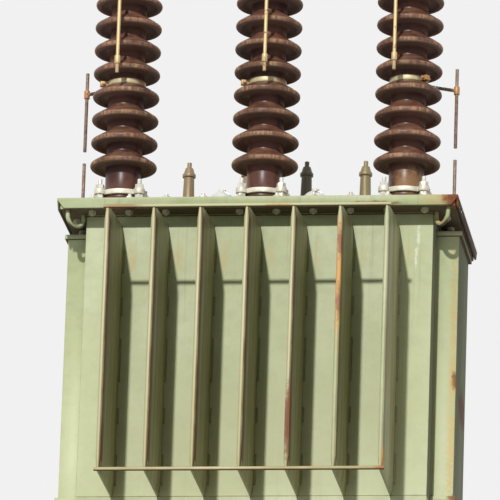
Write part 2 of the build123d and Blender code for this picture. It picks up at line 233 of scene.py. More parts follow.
class EffectTree(Wiring):
    """Shader group of one effect, with named inputs and outputs."""

    def __init__(self, pattern: Pattern) -> None:
        """Build the group.

        Args:
            pattern: The effect that it makes.
        """
        label, inputs = pattern.value
        super().__init__(bpy.data.node_groups.new(label, "ShaderNodeTree"))
        sockets = self.tree.interface
        for name, value in inputs.items():
            kind = "NodeSocketVector" if isinstance(value, tuple) else "NodeSocketFloat"
            sockets.new_socket(name=name, in_out="INPUT", socket_type=kind).default_value = value
        if pattern is Pattern.RUST_COLOUR:
            sockets.new_socket(name="Colour", in_out="OUTPUT", socket_type="NodeSocketColor")
            sockets.new_socket(name="Grain", in_out="OUTPUT", socket_type="NodeSocketFloat")
        else:
            sockets.new_socket(name="Mask", in_out="OUTPUT", socket_type="NodeSocketFloat")
        self.given = self.add("NodeGroupInput").outputs
        self.out = self.add("NodeGroupOutput").inputs
        makers = {
            Pattern.EDGE_WEAR: self.edge_wear,
            Pattern.CREVICE_GRIME: self.crevice_grime,
            Pattern.RAIN_STREAKS: self.rain_streaks,
            Pattern.SETTLED_DUST: self.settled_dust,
            Pattern.MARK: self.mark,
            Pattern.RUST_COLOUR: self.rust_colour,
        }
        makers[pattern]()

    def end(self, *masks: Any) -> None:
        """Put out the product of some masks and the amount."""
        self.feed(self.out["Mask"], self.maths("MULTIPLY", *masks, self.given["Amount"], clamp=True))

    def edge_wear(self) -> None:
        """Mask of outer edges where the coat has worn or rusted through."""
        rounded = self.add("ShaderNodeBevel", {"Radius": self.given["Radius"]}, samples=4)
        surface = self.add("ShaderNodeNewGeometry").outputs["Normal"]
        likeness = self.vectors("DOT_PRODUCT", rounded.outputs[0], surface)
        cloud = self.noise(self.place(), self.given["Breakup"], 5.0, 0.65)
        self.end(self.ramp(likeness, 0.995, 0.80), self.ramp(cloud, 0.42, 0.62))

    def crevice_grime(self) -> None:
        """Mask of corners and gaps from ambient occlusion, where shade is painted along with grime."""
        openness = self.add("ShaderNodeAmbientOcclusion", {"Distance": self.given["Distance"]}, samples=4)
        corner = self.ramp(openness.outputs["AO"], 0.85, 0.25)
        self.end(corner, self.ramp(self.noise(self.place(), 18.0), 0.3, 0.7, 0.45, 1.0))

    def rain_streaks(self) -> None:
        """Mask of runs that rain leaves on upright faces, strongest under the top."""
        x, y, z = self.split(self.place())
        across = self.maths("DIVIDE", 1.0, self.given["Width"])
        along = self.maths("DIVIDE", 1.0, self.given["Length"])
        parts = [self.maths("MULTIPLY", *pair) for pair in ((x, across), (y, across), (z, along))]
        stretched = self.add("ShaderNodeCombineXYZ", dict(enumerate(parts))).outputs[0]
        runs = self.ramp(self.noise(stretched, 1.0, 3.0), 0.56, 0.78)
        upright = self.ramp(self.maths("ABSOLUTE", self.facing()[2]), 0.6, 0.2)
        depth = self.maths("SUBTRACT", self.given["Top"], z)
        self.end(runs, upright, self.ramp(depth, 0.0, self.given["Length"], 1.0, 0.25))

    def settled_dust(self) -> None:
        """Mask of dust and droppings on faces that look up."""
        steepest = self.given["Steepest"]
        level = self.ramp(self.facing()[2], steepest, self.maths("ADD", steepest, 0.35))
        start = self.maths("SUBTRACT", 0.95, self.given["Cover"])
        cloud = self.noise(self.place(), self.given["Scale"], 6.0, 0.7)
        soft = 0.12
        self.end(level, self.ramp(cloud, self.maths("SUBTRACT", start, soft), self.maths("ADD", start, soft)))

    def mark(self) -> None:
        """Mask of one ragged, soft-edged patch at a named place on the object."""
        place = self.place()
        offset = self.vectors("SUBTRACT", place, self.given["Centre"])
        distance = self.vectors("LENGTH", self.vectors("DIVIDE", offset, self.given["Reach"]))
        cloud = self.maths("SUBTRACT", self.noise(place, self.given["Scale"], 6.0, 0.7), 0.5)
        swing = self.maths("MULTIPLY", cloud, self.given["Ragged"], 4.0)
        self.end(self.ramp(self.maths("ADD", distance, swing), 1.15, 0.40))

    def rust_colour(self) -> None:
        """Colour and grain of rust, from dark brown through orange to tan."""
        place = self.place()
        dark, brown, orange, speck = (
            display(72, 44, 32), display(132, 78, 44), display(188, 128, 66), display(96, 56, 38),
        )
        grain = self.noise(place, self.maths("MULTIPLY", self.given["Scale"], 4.0), 6.0, 0.75)
        cloud = self.noise(place, self.given["Scale"], 5.0, 0.6)
        shade = self.maths("ADD", cloud, self.maths("SUBTRACT", self.given["Brightness"], 0.5))
        layers = [
            (self.ramp(shade, 0.30, 0.52), brown),
            (self.ramp(shade, 0.50, 0.72), orange),
            (self.ramp(grain, 0.55, 0.75, 0.0, 0.5), speck),
        ]
        self.feed(self.out["Colour"], self.layered(dark, layers))
        self.feed(self.out["Grain"], grain)


class Surface(Wiring):
    """Wiring of one material, around its Principled shader."""

    groups: dict[Pattern, Tree] = {}

    def __init__(self, name: str) -> None:
        """Start the material.

        Args:
            name: Its name.
        """
        self.material = bpy.data.materials.new(name)
        self.material.use_nodes = True
        super().__init__(self.material.node_tree)
        self.shader = self.tree.nodes["Principled BSDF"]

    def effect(self, pattern: Pattern, label: str = "", **values: Any) -> Node:
        """Place a shared effect, whose group is built the first time.

        Args:
            pattern: The effect.
            label: What it stands for here.
            values: The group's inputs, by their names in small letters.

        Returns:
            The group node.
        """
        if pattern not in self.groups:
            self.groups[pattern] = EffectTree(pattern).tree
        sockets = {name.capitalize(): value for name, value in values.items()}
        return self.add("ShaderNodeGroup", sockets, node_tree=self.groups[pattern], label=label)

    def mask(self, pattern: Pattern, label: str = "", **values: Any) -> Socket:
        """Mask of a shared effect."""
        return self.effect(pattern, label, **values).outputs["Mask"]

    def shade(self, values: dict[str, Any]) -> None:
        """Feed the shader's inputs by name."""
        for name, value in values.items():
            self.feed(self.shader.inputs[name], value)

    def bump(self, height: Any, strength: float, distance: float) -> None:
        """Roughen the surface by a height."""
        sockets = {"Strength": strength, "Distance": distance, "Height": height}
        self.shade({"Normal": self.add("ShaderNodeBump", sockets).outputs["Normal"]})


@dataclass(frozen=True)
class Mark:
    """One patch at a place in the object's own frame, in metres; without a tint it is rust."""

    name: str
    centre: Point
    reach: Point
    ragged: float = 0.5
    scale: float = 45.0
    amount: float = 1.0
    tint: Colour | None = None

    def mask(self, surface: Surface) -> Socket:
        """The mark's mask in one material."""
        values = {key: value for key, value in asdict(self).items() if key not in ("name", "tint")}
        return surface.mask(Pattern.MARK, self.name, **values)


@dataclass
class FinRow:
    """Sizes of the cooling fins that marks and welds follow, in metres."""

    count: int = 7
    pitch: float = 0.120
    thickness: float = 0.013
    tip: float = field(init=False)
    foot: float = field(init=False)
    head: float = field(init=False)

    def __post_init__(self) -> None:
        """Take the tips, feet and heads from the frame."""
        low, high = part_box("front_fin_1")
        self.tip, self.foot, self.head = -low.y, low.z, high.z

    def axes(self) -> list[float]:
        """Middle of each fin along X."""
        return [(index - (self.count - 1) / 2) * self.pitch for index in range(self.count)]

    def across(self, surface: Surface) -> Socket:
        """Place along X from the nearest fin's middle.

        Args:
            surface: The material's wiring.

        Returns:
            The place, within half a pitch to either side.
        """
        x = surface.split(surface.place())[0]
        phase = surface.maths("MODULO", surface.maths("ADD", x, self.count / 2 * self.pitch), self.pitch)
        return surface.maths("SUBTRACT", phase, self.pitch / 2)

    def beside(self, surface: Surface, offset: float) -> Socket:
        """Distance along X from a line beside the nearest fin."""
        return surface.maths("ABSOLUTE", surface.maths("SUBTRACT", self.across(surface), offset))


fins = FinRow()


@dataclass(frozen=True)
class Paint:
    """Weathered coat on steel, with stains, worn edges and rust; shade is painted in crevices, on faces that
    look down and, on the body, on faces that look right.
    """

    name: str
    fresh: Colour
    faded: Colour
    roughness: float = 0.5
    matt: float = 0.88
    wear_radius: float = 0.003
    wear: float = 0.6
    grime: float = 0.6
    streaks: float = 0.35
    underside: float = 0.96
    marks: tuple[Mark, ...] = ()
    fin_edges: bool = False
    bay_stains: bool = False

    def fin_layers(self, surface: Surface) -> list[Layer]:
        """Brown runs on the fins' cheeks, partly painted shade; cream tips with a dark right edge of rust and
        painted shade; and a seam on their left.

        Args:
            surface: The material's wiring.

        Returns:
            Masks with their colours, the lowest first.
        """
        maths, ramp = surface.maths, surface.ramp
        x, y, z = surface.split(surface.place())
        across, depth, thick = fins.across(surface), maths("ABSOLUTE", y), fins.thickness
        tip = ramp(depth, fins.tip - 0.007, fins.tip - 0.004)
        fold = maths("MULTIPLY", ramp(across, thick * 0.02, thick * 0.26), tip)
        cheek = ramp(across, thick * 0.40, thick * 0.48)
        near = maths("MULTIPLY", cheek, ramp(depth, fins.tip - 0.050, fins.tip - 0.018))
        edge = maths("MAXIMUM", fold, near)
        tall = ramp(z, fins.foot + 0.55, fins.foot + 0.05, 0.9, 1.0)
        leftward = ramp(x, 0.10, 0.30, 1.0, 0.55)
        cloud = ramp(surface.noise(surface.place(1.0, 1.0, 0.3), 24.0, 5.0, 0.65), 0.34, 0.60, 0.7, 1.0)
        flank = ramp(maths("ABSOLUTE", surface.facing()[0]), 0.7, 0.95)
        runs = ramp(surface.noise(surface.place(1.0, 1.0, 0.08), 34.0, 4.0, 0.6), 0.36, 0.64, 0.22, 0.62)
        seam = ramp(fins.beside(surface, thick * -0.30), thick * 0.03, thick * 0.11, 0.55, 0.0)
        return [
            # Brown runs on the cheeks: stains that also darken the cheeks as painted shade.
            (maths("MULTIPLY", flank, runs), display(124, 92, 56)),
            (maths("MULTIPLY", tip, ramp(x, 0.10, 0.30, 0.5, 0.05)), display(208, 192, 138)),
            # Dark brown on the right half of each tip and the cheek beside it: rust, with painted shade where
            # the rounded tip turns from the light.
            (maths("MULTIPLY", edge, tall, leftward, cloud), display(94, 58, 28)),
            (maths("MULTIPLY", seam, tip), display(96, 88, 58)),
        ]

    def bay_layers(self, surface: Surface) -> list[Layer]:
        """Walls paler and yellower towards the bottom, painted fin shadows, stains beside every fin, and
        painted shade on faces that look right.

        Args:
            surface: The material's wiring.

        Returns:
            Masks with their colours, the lowest first.
        """
        maths, ramp = surface.maths, surface.ramp
        x, y, z = surface.split(surface.place())
        row = ramp(maths("ABSOLUTE", x), 0.42, 0.39)
        wall = ramp(maths("ABSOLUTE", y), 0.200, 0.190)
        inside = maths("MULTIPLY", row, wall)
        under_bar = ramp(z, LID_TOP - 0.16, LID_TOP - 0.24, 0.0, 0.2)
        painted_fin_shadow = ramp(fins.beside(surface, 0.016), 0.006, 0.014, 1.0, 0.0)
        narrow = ramp(fins.beside(surface, 0.032), 0.002, 0.017, 1.0, 0.0)
        middle = maths("ABSOLUTE", maths("SUBTRACT", z, LID_TOP - 0.145))
        short = ramp(middle, 0.012, 0.055, 1.0, 0.0)
        leftward = ramp(x, -0.15, 0.10, 0.8, 0.4)
        ragged = ramp(surface.noise(surface.place(), 60.0, 5.0), 0.3, 0.65, 0.45, 1.0)
        return [
            (ramp(z, 0.80, 0.35, 0.0, 0.3), display(204, 202, 154)),
            # Painted shadow: olive brown on the wall just right of each fin, below the top bar, where the
            # fin's shadow falls.
            (maths("MULTIPLY", painted_fin_shadow, under_bar, inside), display(128, 108, 70)),
            (maths("MULTIPLY", narrow, short, inside, leftward, ragged), display(188, 170, 104)),
            # Painted shade: faces that look right are darkened.
            (maths("MULTIPLY", self.sooty(surface), 0.75), display(84, 84, 66)),
        ]

    def sooty(self, surface: Surface) -> Socket:
        """Mask of faces that look to the right, where shade is painted dark and the coat is matt."""
        return surface.ramp(surface.facing()[0], 0.6, 0.9)

    def below(self, surface: Surface) -> Socket:
        """Mask of faces that look down, where shade is painted dark brown and the coat is matt."""
        return surface.ramp(surface.facing()[2], -0.3, -0.8, 0.0, self.underside)

    def coat(self, surface: Surface) -> Socket:
        """The coat's colour with weather, dirt and painted shade, before rust.

        Args:
            surface: The material's wiring.

        Returns:
            The colour.
        """
        place = surface.place()
        fading = surface.ramp(surface.noise(place, 3.2), 0.32, 0.68)
        mottling = surface.ramp(surface.noise(place, 26.0, 6.0, 0.62), 0.35, 0.75, 0.0, 0.35)
        streaks = surface.mask(Pattern.RAIN_STREAKS, width=0.010, length=0.55, top=0.93, amount=self.streaks)
        # Crevice layer: brown in corners and gaps, painted shade with grime.
        grime = surface.mask(Pattern.CREVICE_GRIME, distance=0.03, amount=self.grime)
        dust = surface.mask(Pattern.SETTLED_DUST, scale=14.0, steepest=0.5, cover=0.55, amount=0.55)
        layers = [
            (mottling, display(152, 154, 106)),
            (streaks, display(128, 112, 76)),
            (grime, display(80, 66, 44)),
            (dust, display(150, 142, 116)),
        ]
        if self.bay_stains:
            layers += self.bay_layers(surface)
        if self.fin_edges:
            layers += self.fin_layers(surface)
        layers += [(mark.mask(surface), mark.tint) for mark in self.marks if mark.tint is not None]
        # Painted shade: faces that look down turn dark brown.
        layers.append((self.below(surface), display(84, 66, 44)))
        return surface.layered(surface.mix(fading, self.fresh, self.faded), layers)

    def build(self) -> Material:
        """Make the material.

        Returns:
            The finished material.
        """
        surface = Surface(self.name)
        coat = self.coat(surface)
        wear = surface.mask(Pattern.EDGE_WEAR, radius=self.wear_radius, breakup=24.0, amount=self.wear)
        patches = [mark.mask(surface) for mark in self.marks if mark.tint is None]
        rust = surface.maths("MAXIMUM", wear, *patches)
        rusty = surface.effect(Pattern.RUST_COLOUR, scale=38.0, brightness=0.5).outputs
        dusty = surface.ramp(surface.facing()[2], 0.6, 0.95, 0.0, 0.7)
        dull = surface.maths("MAXIMUM", rust, dusty, self.below(surface))
        if self.bay_stains:
            dull = surface.maths("MAXIMUM", dull, self.sooty(surface))
        surface.shade({
            "Base Color": surface.mix(rust, coat, rusty["Colour"]),
            "Roughness": surface.ramp(dull, 0.1, 0.8, self.roughness, self.matt),
        })
        skin = surface.maths("MULTIPLY", surface.noise(surface.place(), 420.0, 2.0), 0.25)
        bitten = surface.maths("MULTIPLY", rust, rusty["Grain"])
        surface.bump(surface.maths("ADD", skin, bitten), 0.35, 0.0012)
        return surface.material


@dataclass(frozen=True)
class Glaze:
    """Brown porcelain glaze with dust on the roots, pale runs over the shed rims that are partly a painted
    highlight, painted light on the undersides and painted shade in the crevices.
    """

    name: str
    deep: Colour
    warm: Colour
    axes: tuple[Vector, ...]
    shed: float
    dust: float = 0.7
    marks: tuple[Mark, ...] = ()

    def rim(self, surface: Surface) -> Socket:
        """Mask of the outer shed rims, by distance from the nearest bushing's axis.

        Args:
            surface: The material's wiring.

        Returns:
            The mask.
        """
        flat = surface.place(1.0, 1.0, 0.0)
        nearest = surface.maths("MINIMUM", *[surface.vectors("DISTANCE", flat, axis) for axis in self.axes])
        return surface.ramp(nearest, self.shed - 0.018, self.shed - 0.007)

    def build(self) -> Material:
        """Make the material.

        Returns:
            The finished material.
        """
        surface = Surface(self.name)
        maths, ramp, noise = surface.maths, surface.ramp, surface.noise
        place, upward = surface.place(), surface.facing()[2]
        body = surface.mix(ramp(noise(place, 9.0, 5.0), 0.3, 0.7), self.deep, self.warm)
        under = ramp(upward, -0.1, -0.5)
        runs = ramp(noise(surface.place(1.0, 1.0, 0.16), 150.0, 4.0, 0.6), 0.40, 0.62, 0.25, 1.0)
        patches = ramp(noise(place, 16.0, 3.0), 0.38, 0.62, 0.25, 1.0)
        # Pale runs on the rims' outer faces: dust runs, partly a painted highlight.
        front = maths("MULTIPLY", ramp(upward, -0.90, -0.45), ramp(upward, 0.85, 0.40), self.rim(surface))
        pale = maths("MULTIPLY", front, runs, patches)
        film = maths("MULTIPLY", ramp(upward, 0.05, 0.55), ramp(noise(place, 45.0), 0.35, 0.65, 0.0, 0.25))
        settled = surface.mask(Pattern.SETTLED_DUST, scale=17.0, steepest=0.55, cover=0.40, amount=0.5)
        # Crevice layer: near-black brown where necks meet sheds, painted shade with grime.
        grime = surface.mask(Pattern.CREVICE_GRIME, distance=0.03, amount=0.45)
        layers = [
            # Painted light: shed undersides lifted to a warm brown, standing in for light thrown up from
            # below.
            (maths("MULTIPLY", under, 0.6), display(122, 96, 80)),
            (maths("MULTIPLY", pale, self.dust), display(212, 166, 128)),
            (film, display(176, 132, 98)),
            (settled, display(156, 124, 98)),
            (grime, display(34, 22, 18)),
            *[(mark.mask(surface), mark.tint) for mark in self.marks],
        ]
        surface.shade({
            "Base Color": surface.layered(body, layers),
            "Roughness": ramp(maths("MAXIMUM", pale, settled, under), 0.0, 1.0, 0.35, 0.75),
            "Specular IOR Level": 0.45,
            "IOR": 1.4,
        })
        surface.bump(noise(place, 38.0, 2.0), 0.12, 0.002)
        return surface.material


@dataclass(frozen=True)
class Metal:
    """Bare or plated metal with tarnish and rust."""

    name: str
    bright: Colour
    dull: Colour
    shine: float
    roughness: float
    rust: float
    scale: float = 60.0
    marks: tuple[Mark, ...] = ()

    def build(self) -> Material:
        """Make the material.

        Returns:
            The finished material.
        """
        surface = Surface(self.name)
        place = surface.place()
        tarnish = surface.ramp(surface.noise(place, self.scale, 6.0, 0.65), 0.34, 0.66)
        layers = [(mark.mask(surface), mark.tint) for mark in self.marks]
        # Crevice layer: darker brown in corners and gaps, painted shade with grime.
        grime = surface.mask(Pattern.CREVICE_GRIME, distance=0.015, amount=0.65)
        layers.append((grime, display(70, 58, 44)))
        metal = surface.layered(surface.mix(tarnish, self.bright, self.dull), layers)
        cloud = surface.noise(place, self.scale * 0.6, 6.0, 0.7)
        spots = surface.ramp(cloud, 0.66 - self.rust * 0.3, 0.74 - self.rust * 0.2)
        wear = surface.mask(Pattern.EDGE_WEAR, radius=0.0015, breakup=70.0, amount=self.rust)
        rust = surface.maths("MAXIMUM", spots, wear)
        rusty = surface.effect(Pattern.RUST_COLOUR, scale=80.0, brightness=0.55).outputs["Colour"]
        surface.shade({
            "Base Color": surface.mix(rust, metal, rusty),
            "Metallic": surface.ramp(rust, 0.0, 0.6, self.shine, 0.0),
            "Roughness": surface.ramp(rust, 0.0, 0.6, self.roughness, 0.85),
        })
        surface.bump(surface.noise(place, self.scale * 8.0, 3.0), 0.2, 0.0008)
        return surface.material


@dataclass(frozen=True)
class Rubber:
    """Dark seal with a dusty edge."""

    name: str
    colour: Colour
    dust: Colour

    def build(self) -> Material:
        """Make the material.

        Returns:
            The finished material.
        """
        surface = Surface(self.name)
        cloud = surface.ramp(surface.noise(surface.place(), 30.0, 5.0), 0.35, 0.7, 0.0, 0.7)
        surface.shade({"Base Color": surface.mix(cloud, self.colour, self.dust), "Roughness": 0.8})
        surface.bump(surface.noise(surface.place(), 500.0, 2.0), 0.2, 0.0006)
        return surface.material


class Slot(Enum):
    """Material slots of the record."""

    TANK_PAINT = "tank_paint"
    BAR_PAINT = "bar_paint"
    SEAL = "gasket_rubber"
    PORCELAIN = "brown_porcelain"
    GALVANISED = "galvanised"
    HORN = "horn_metal"
    TERMINAL = "terminal_metal"
    COVER = "cover_white"


@dataclass(frozen=True)
class Finish:
    """A material and the slot that it fills."""

    slot: Slot
    material: Material


def new_object(name: str, mesh: Mesh) -> Piece:
    """Link a mesh to the scene.

    Args:
        name: The new piece's name.
        mesh: Its mesh.

    Returns:
        The new piece.
    """
    piece = bpy.data.objects.new(name, mesh)
    bpy.context.scene.collection.objects.link(piece)
    return piece


def show(piece: Piece, finish: Finish, node: str = "") -> None:
    """Give a new piece its finish and its place in the frame.

    Args:
        piece: The piece.
        finish: Its finish.
        node: The CAD node that the piece stands for, if any.
    """
    piece.data.materials.clear()
    piece.data.materials.append(finish.material)
    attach(piece, BODY)
    if node:
        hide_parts(node)
    LOG.info("%s: %d faces", piece.name, len(piece.data.polygons))


def shade_by_angle(shape: Shape) -> None:
    """Smooth the faces and keep the edges that turn by more than a crease.

    Args:
        shape: The shape that is shaded.
    """
    for face in shape.faces:
        face.smooth = True
    for edge in shape.edges:
        edge.smooth = edge.calc_face_angle(pi) < CREASE


def mesh_from(name: str, shape: Shape, mesh: Mesh | None = None) -> Mesh:
    """Shade a shape, turn it into a mesh and free it.

    Args:
        name: A new mesh's name.
        shape: The shape.
        mesh: The mesh that takes the shape, or none for a new one.

    Returns:
        The mesh.
    """
    shade_by_angle(shape)
    mesh = mesh or bpy.data.meshes.new(name)
    shape.to_mesh(mesh)
    shape.free()
    return mesh


def plain_copy(piece: Piece) -> Piece:
    """Turn a piece with modifiers into a plain mesh.

    Args:
        piece: The piece, whose modifiers are used up.

    Returns:
        The same piece.
    """
    depsgraph = bpy.context.evaluated_depsgraph_get()
    evaluated = piece.evaluated_get(depsgraph)
    mesh = bpy.data.meshes.new_from_object(evaluated, preserve_all_data_layers=True, depsgraph=depsgraph)
    piece.modifiers.clear()
    old, piece.data = piece.data, mesh
    bpy.data.meshes.remove(old)
    return piece


def dress(node: str, name: str, finish: Finish, width: float, segments: int = 2) -> None:
    """Replace a CAD node by a copy with merged triangles, rounded edges and a finish.

    Args:
        node: The node.
        name: The new piece's name.
        finish: Its finish.
        width: How far a rounding reaches from the edge.
        segments: Faces across a rounding.
    """
    shape = bmesh.new()
    shape.from_mesh(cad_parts[node].data)
    bmesh.ops.remove_doubles(shape, verts=shape.verts, dist=MERGE)
    bmesh.ops.dissolve_limit(shape, angle_limit=FLAT, verts=shape.verts, edges=shape.edges)
    piece = new_object(name, mesh_from(name, shape))
    bevel = piece.modifiers.new("rounding", "BEVEL")
    bevel.width, bevel.segments = width, segments
    bevel.limit_method, bevel.angle_limit = "ANGLE", CREASE
    bevel.miter_outer = "MITER_ARC"
    plain_copy(piece)
    shape = bmesh.new()
    shape.from_mesh(piece.data)
    mesh_from(name, shape, piece.data)
    show(piece, finish, node)


def arc(centre: Spot, radius: float, start: float, end: float, steps: int) -> Outline:
    """Points along an arc.

    Args:
        centre: Its centre.
        radius: Its radius.
        start: The angle where it starts, in degrees.
        end: The angle where it ends.
        steps: How many stretches it has.

    Returns:
        The points, both ends included.
    """
    points = []
    for step in range(steps + 1):
        angle = radians(start + (end - start) * step / steps)
        points.append((centre[0] + radius * cos(angle), centre[1] + radius * sin(angle)))
    return points


def curve_through(start: Spot, pull: Spot, end: Spot, steps: int) -> Outline:
    """Points along a curve from start to end that bends towards a third point.

    Args:
        start: Where the curve starts.
        pull: The point that bends it.
        end: Where it ends.
        steps: How many stretches it has.

    Returns:
        The points, both ends included.
    """
    points = []
    for step in range(steps + 1):
        share = step / steps
        weights = ((1 - share) ** 2, 2 * share * (1 - share), share**2)
        points.append(tuple(sum(w * c[k] for w, c in zip(weights, (start, pull, end))) for k in (0, 1)))
    return points


def turned(sides: int, outline: Outline) -> Shape:
    """Turn an outline about the Z axis, with its outside on the right of its way up.

    Args:
        sides: Faces around.
        outline: Radius and height of each point, with a radius of 0 where the axis closes it.

    Returns:
        The turned shape.
    """
    shape = bmesh.new()
    rings = []
    for radius, height in outline:
        turns = [2 * pi * index / sides for index in range(sides if radius > 0 else 1)]
        rings.append([shape.verts.new((radius * cos(a), radius * sin(a), height)) for a in turns])
    for low, high in zip(rings, rings[1:]):
        for index in range(sides):
            here, after = index, (index + 1) % sides
            corners = [low[here % len(low)], low[after % len(low)]]
            corners += [high[after % len(high)], high[here % len(high)]]
            corners = list(dict.fromkeys(corners))
            if len(corners) > 2:
                shape.faces.new(corners)
    return shape


def with_head(foot: Shape, head: Shape) -> Shape:
    """Add a head to a foot.

    Args:
        foot: The shape that is added to.
        head: The shape that is added, which is freed.

    Returns:
        The foot's shape with both.
    """
    mesh = mesh_from("head", head)
    foot.from_mesh(mesh)
    bpy.data.meshes.remove(mesh)
    return foot


def points_mesh(name: str, points: Sequence[Point], edges: Sequence[tuple[int, int]] = ()) -> Mesh:
    """A mesh of loose points or edges for a tree to start from.

    Args:
        name: The mesh's name.
        points: Its points.
        edges: Two point numbers for each edge.

    Returns:
        The mesh.
    """
    mesh = bpy.data.meshes.new(name)
    mesh.from_pydata([tuple(point) for point in points], list(edges), [])
    return mesh


def above_middle(node: str, height: float) -> Vector:
    """The point at a height above the middle of a node's box."""
    low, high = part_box(node)
    return Vector(((low.x + high.x) / 2, (low.y + high.y) / 2, height))


class GrowthTree(Wiring):
    """Geometry Nodes tree with named inputs, which grows a finished piece from a base mesh."""

    def __init__(self, name: str, inputs: dict[str, Any]) -> None:
        """Start the tree.

        Args:
            name: Its name.
            inputs: Defaults by name, or the type of data where an input has no default.
        """
        super().__init__(bpy.data.node_groups.new(name, "GeometryNodeTree"))
        sockets = self.tree.interface
        for label, value in {"Base": "Geometry", **inputs, "Finish": "Material"}.items():
            kind = value if isinstance(value, str) else {int: "Int", float: "Float"}[type(value)]
            socket = sockets.new_socket(name=label, in_out="INPUT", socket_type=f"NodeSocket{kind}")
            if not isinstance(value, str):
                socket.default_value = value
        sockets.new_socket(name="Result", in_out="OUTPUT", socket_type="NodeSocketGeometry")
        self.given = self.add("NodeGroupInput").outputs
        self.out = self.add("NodeGroupOutput").inputs

    def joined(self, parts: Sequence[Socket]) -> Socket:
        """Join meshes or instances.

        Args:
            parts: What is joined, in order.

        Returns:
            All of it.
        """
        node = self.add("GeometryNodeJoinGeometry")
        for part in parts:
            self.tree.links.new(part, node.inputs[0])
        return node.outputs[0]

    def end(self, shape: Socket) -> None:
        """End the tree in real meshes that carry their finish.

        Args:
            shape: The finished shape.
        """
        real = self.add("GeometryNodeRealizeInstances", {0: shape}).outputs[0]
        sockets = {"Geometry": real, "Material": self.given["Finish"]}
        self.feed(self.out[0], self.add("GeometryNodeSetMaterial", sockets).outputs[0])

    def grow(self, name: str, base: Mesh, material: Material, values: dict[str, Any]) -> Piece:
        """Run the tree on a mesh and keep the result as a plain mesh.

        Args:
            name: The new piece's name.
            base: The points or edges that it starts from.
            material: What the finished piece is made of.
            values: The tree's other inputs by name.

        Returns:
            The new piece.
        """
        piece = new_object(name, base)
        modifier = piece.modifiers.new("growth", "NODES")
        modifier.node_group = self.tree
        values = {**values, "Finish": material}
        for item in self.tree.interface.items_tree:
            if item.item_type == "SOCKET" and item.in_out == "INPUT" and item.name in values:
                modifier[item.identifier] = values[item.name]
        return plain_copy(piece)


@dataclass(frozen=True)
class Fastener:
    """Stud with a washer, a nut and a lower nut, in metres above the lid's top."""

    stud_radius: float = 0.006
    stud_bottom: float = 0.0
    stud_top: float = 0.02
    nut_radius: float = 0.011
    nut_bottom: float = 0.0
    nut_height: float = 0.008
    washer_radius: float = 0.013
    washer_height: float = 0.002
    lower_nut: float = 0.0
    seed: int = 1

    def inputs(self) -> dict[str, Any]:
        """The sizes by the names of the tree's inputs."""
        return {name.replace("_", " ").title(): value for name, value in asdict(self).items()}


class FastenerTree(GrowthTree):
    """Fastener on each point, turned at random about its axis."""

    def __init__(self) -> None:
        """Build the tree."""
        super().__init__("fasteners", Fastener().inputs())
        given = self.given
        reach = self.maths("SUBTRACT", given["Stud Top"], given["Stud Bottom"])
        washer_bottom = self.maths("SUBTRACT", given["Nut Bottom"], given["Washer Height"])
        lower_bottom = self.maths("SUBTRACT", given["Lower Nut"], given["Nut Height"])
        fastener = self.joined([
            self.barrel(12, given["Stud Radius"], given["Stud Bottom"], reach),
            self.barrel(6, given["Nut Radius"], given["Nut Bottom"], given["Nut Height"]),
            self.barrel(16, given["Washer Radius"], washer_bottom, given["Washer Height"]),
            self.barrel(6, given["Nut Radius"], lower_bottom, given["Nut Height"]),
        ])
        angle = self.add("FunctionNodeRandomValue", {3: 2 * pi, "Seed": given["Seed"]}, data_type="FLOAT")
        sockets = {"Points": given["Base"], "Instance": fastener, "Rotation": self.raised(angle.outputs[1])}
        self.end(self.add("GeometryNodeInstanceOnPoints", sockets).outputs[0])

    def barrel(self, sides: int, radius: Any, bottom: Any, height: Any) -> Socket:
        """One upright cylinder.

        Args:
            sides: Faces around.
            radius: Its radius.
            bottom: The height where it starts.
            height: How tall it is.

        Returns:
            The cylinder.
        """
        sockets = {"Vertices": sides, "Radius": radius, "Depth": height}
        solid = self.add("GeometryNodeMeshCylinder", sockets).outputs["Mesh"]
        lift = self.raised(self.maths("ADD", bottom, self.maths("MULTIPLY", height, 0.5)))
        return self.add("GeometryNodeTransform", {"Geometry": solid, "Translation": lift}).outputs[0]


class WeldTree(GrowthTree):
    """Rippled weld bead along each edge of the base mesh."""

    def __init__(self) -> None:
        """Build the tree."""
        super().__init__("weld beads", {"Leg": 0.005, "Ripple": 0.004, "Unevenness": 0.35, "Sides": 8})
        given = self.given
        line = self.add("GeometryNodeMeshToCurve", {0: given["Base"]}).outputs[0]
        sockets = {"Curve": line, "Length": given["Ripple"]}
        even = self.add("GeometryNodeResampleCurve", sockets, mode="LENGTH").outputs[0]
        sockets = {"Resolution": given["Sides"], "Radius": given["Leg"]}
        circle = self.add("GeometryNodeCurvePrimitiveCircle", sockets).outputs[0]
        place = self.add("GeometryNodeInputPosition").outputs[0]
        uneven = self.maths("SUBTRACT", self.noise(place, 260.0, 2.0), 0.5)
        scale = self.maths("ADD", self.maths("MULTIPLY", uneven, given["Unevenness"], 2.0), 1.0)
        sockets = {"Curve": even, "Profile Curve": circle, "Fill Caps": True, "Scale": scale}
        bead = self.add("GeometryNodeCurveToMesh", sockets).outputs[0]
        self.end(self.add("GeometryNodeSetShadeSmooth", {"Geometry": bead}).outputs[0])


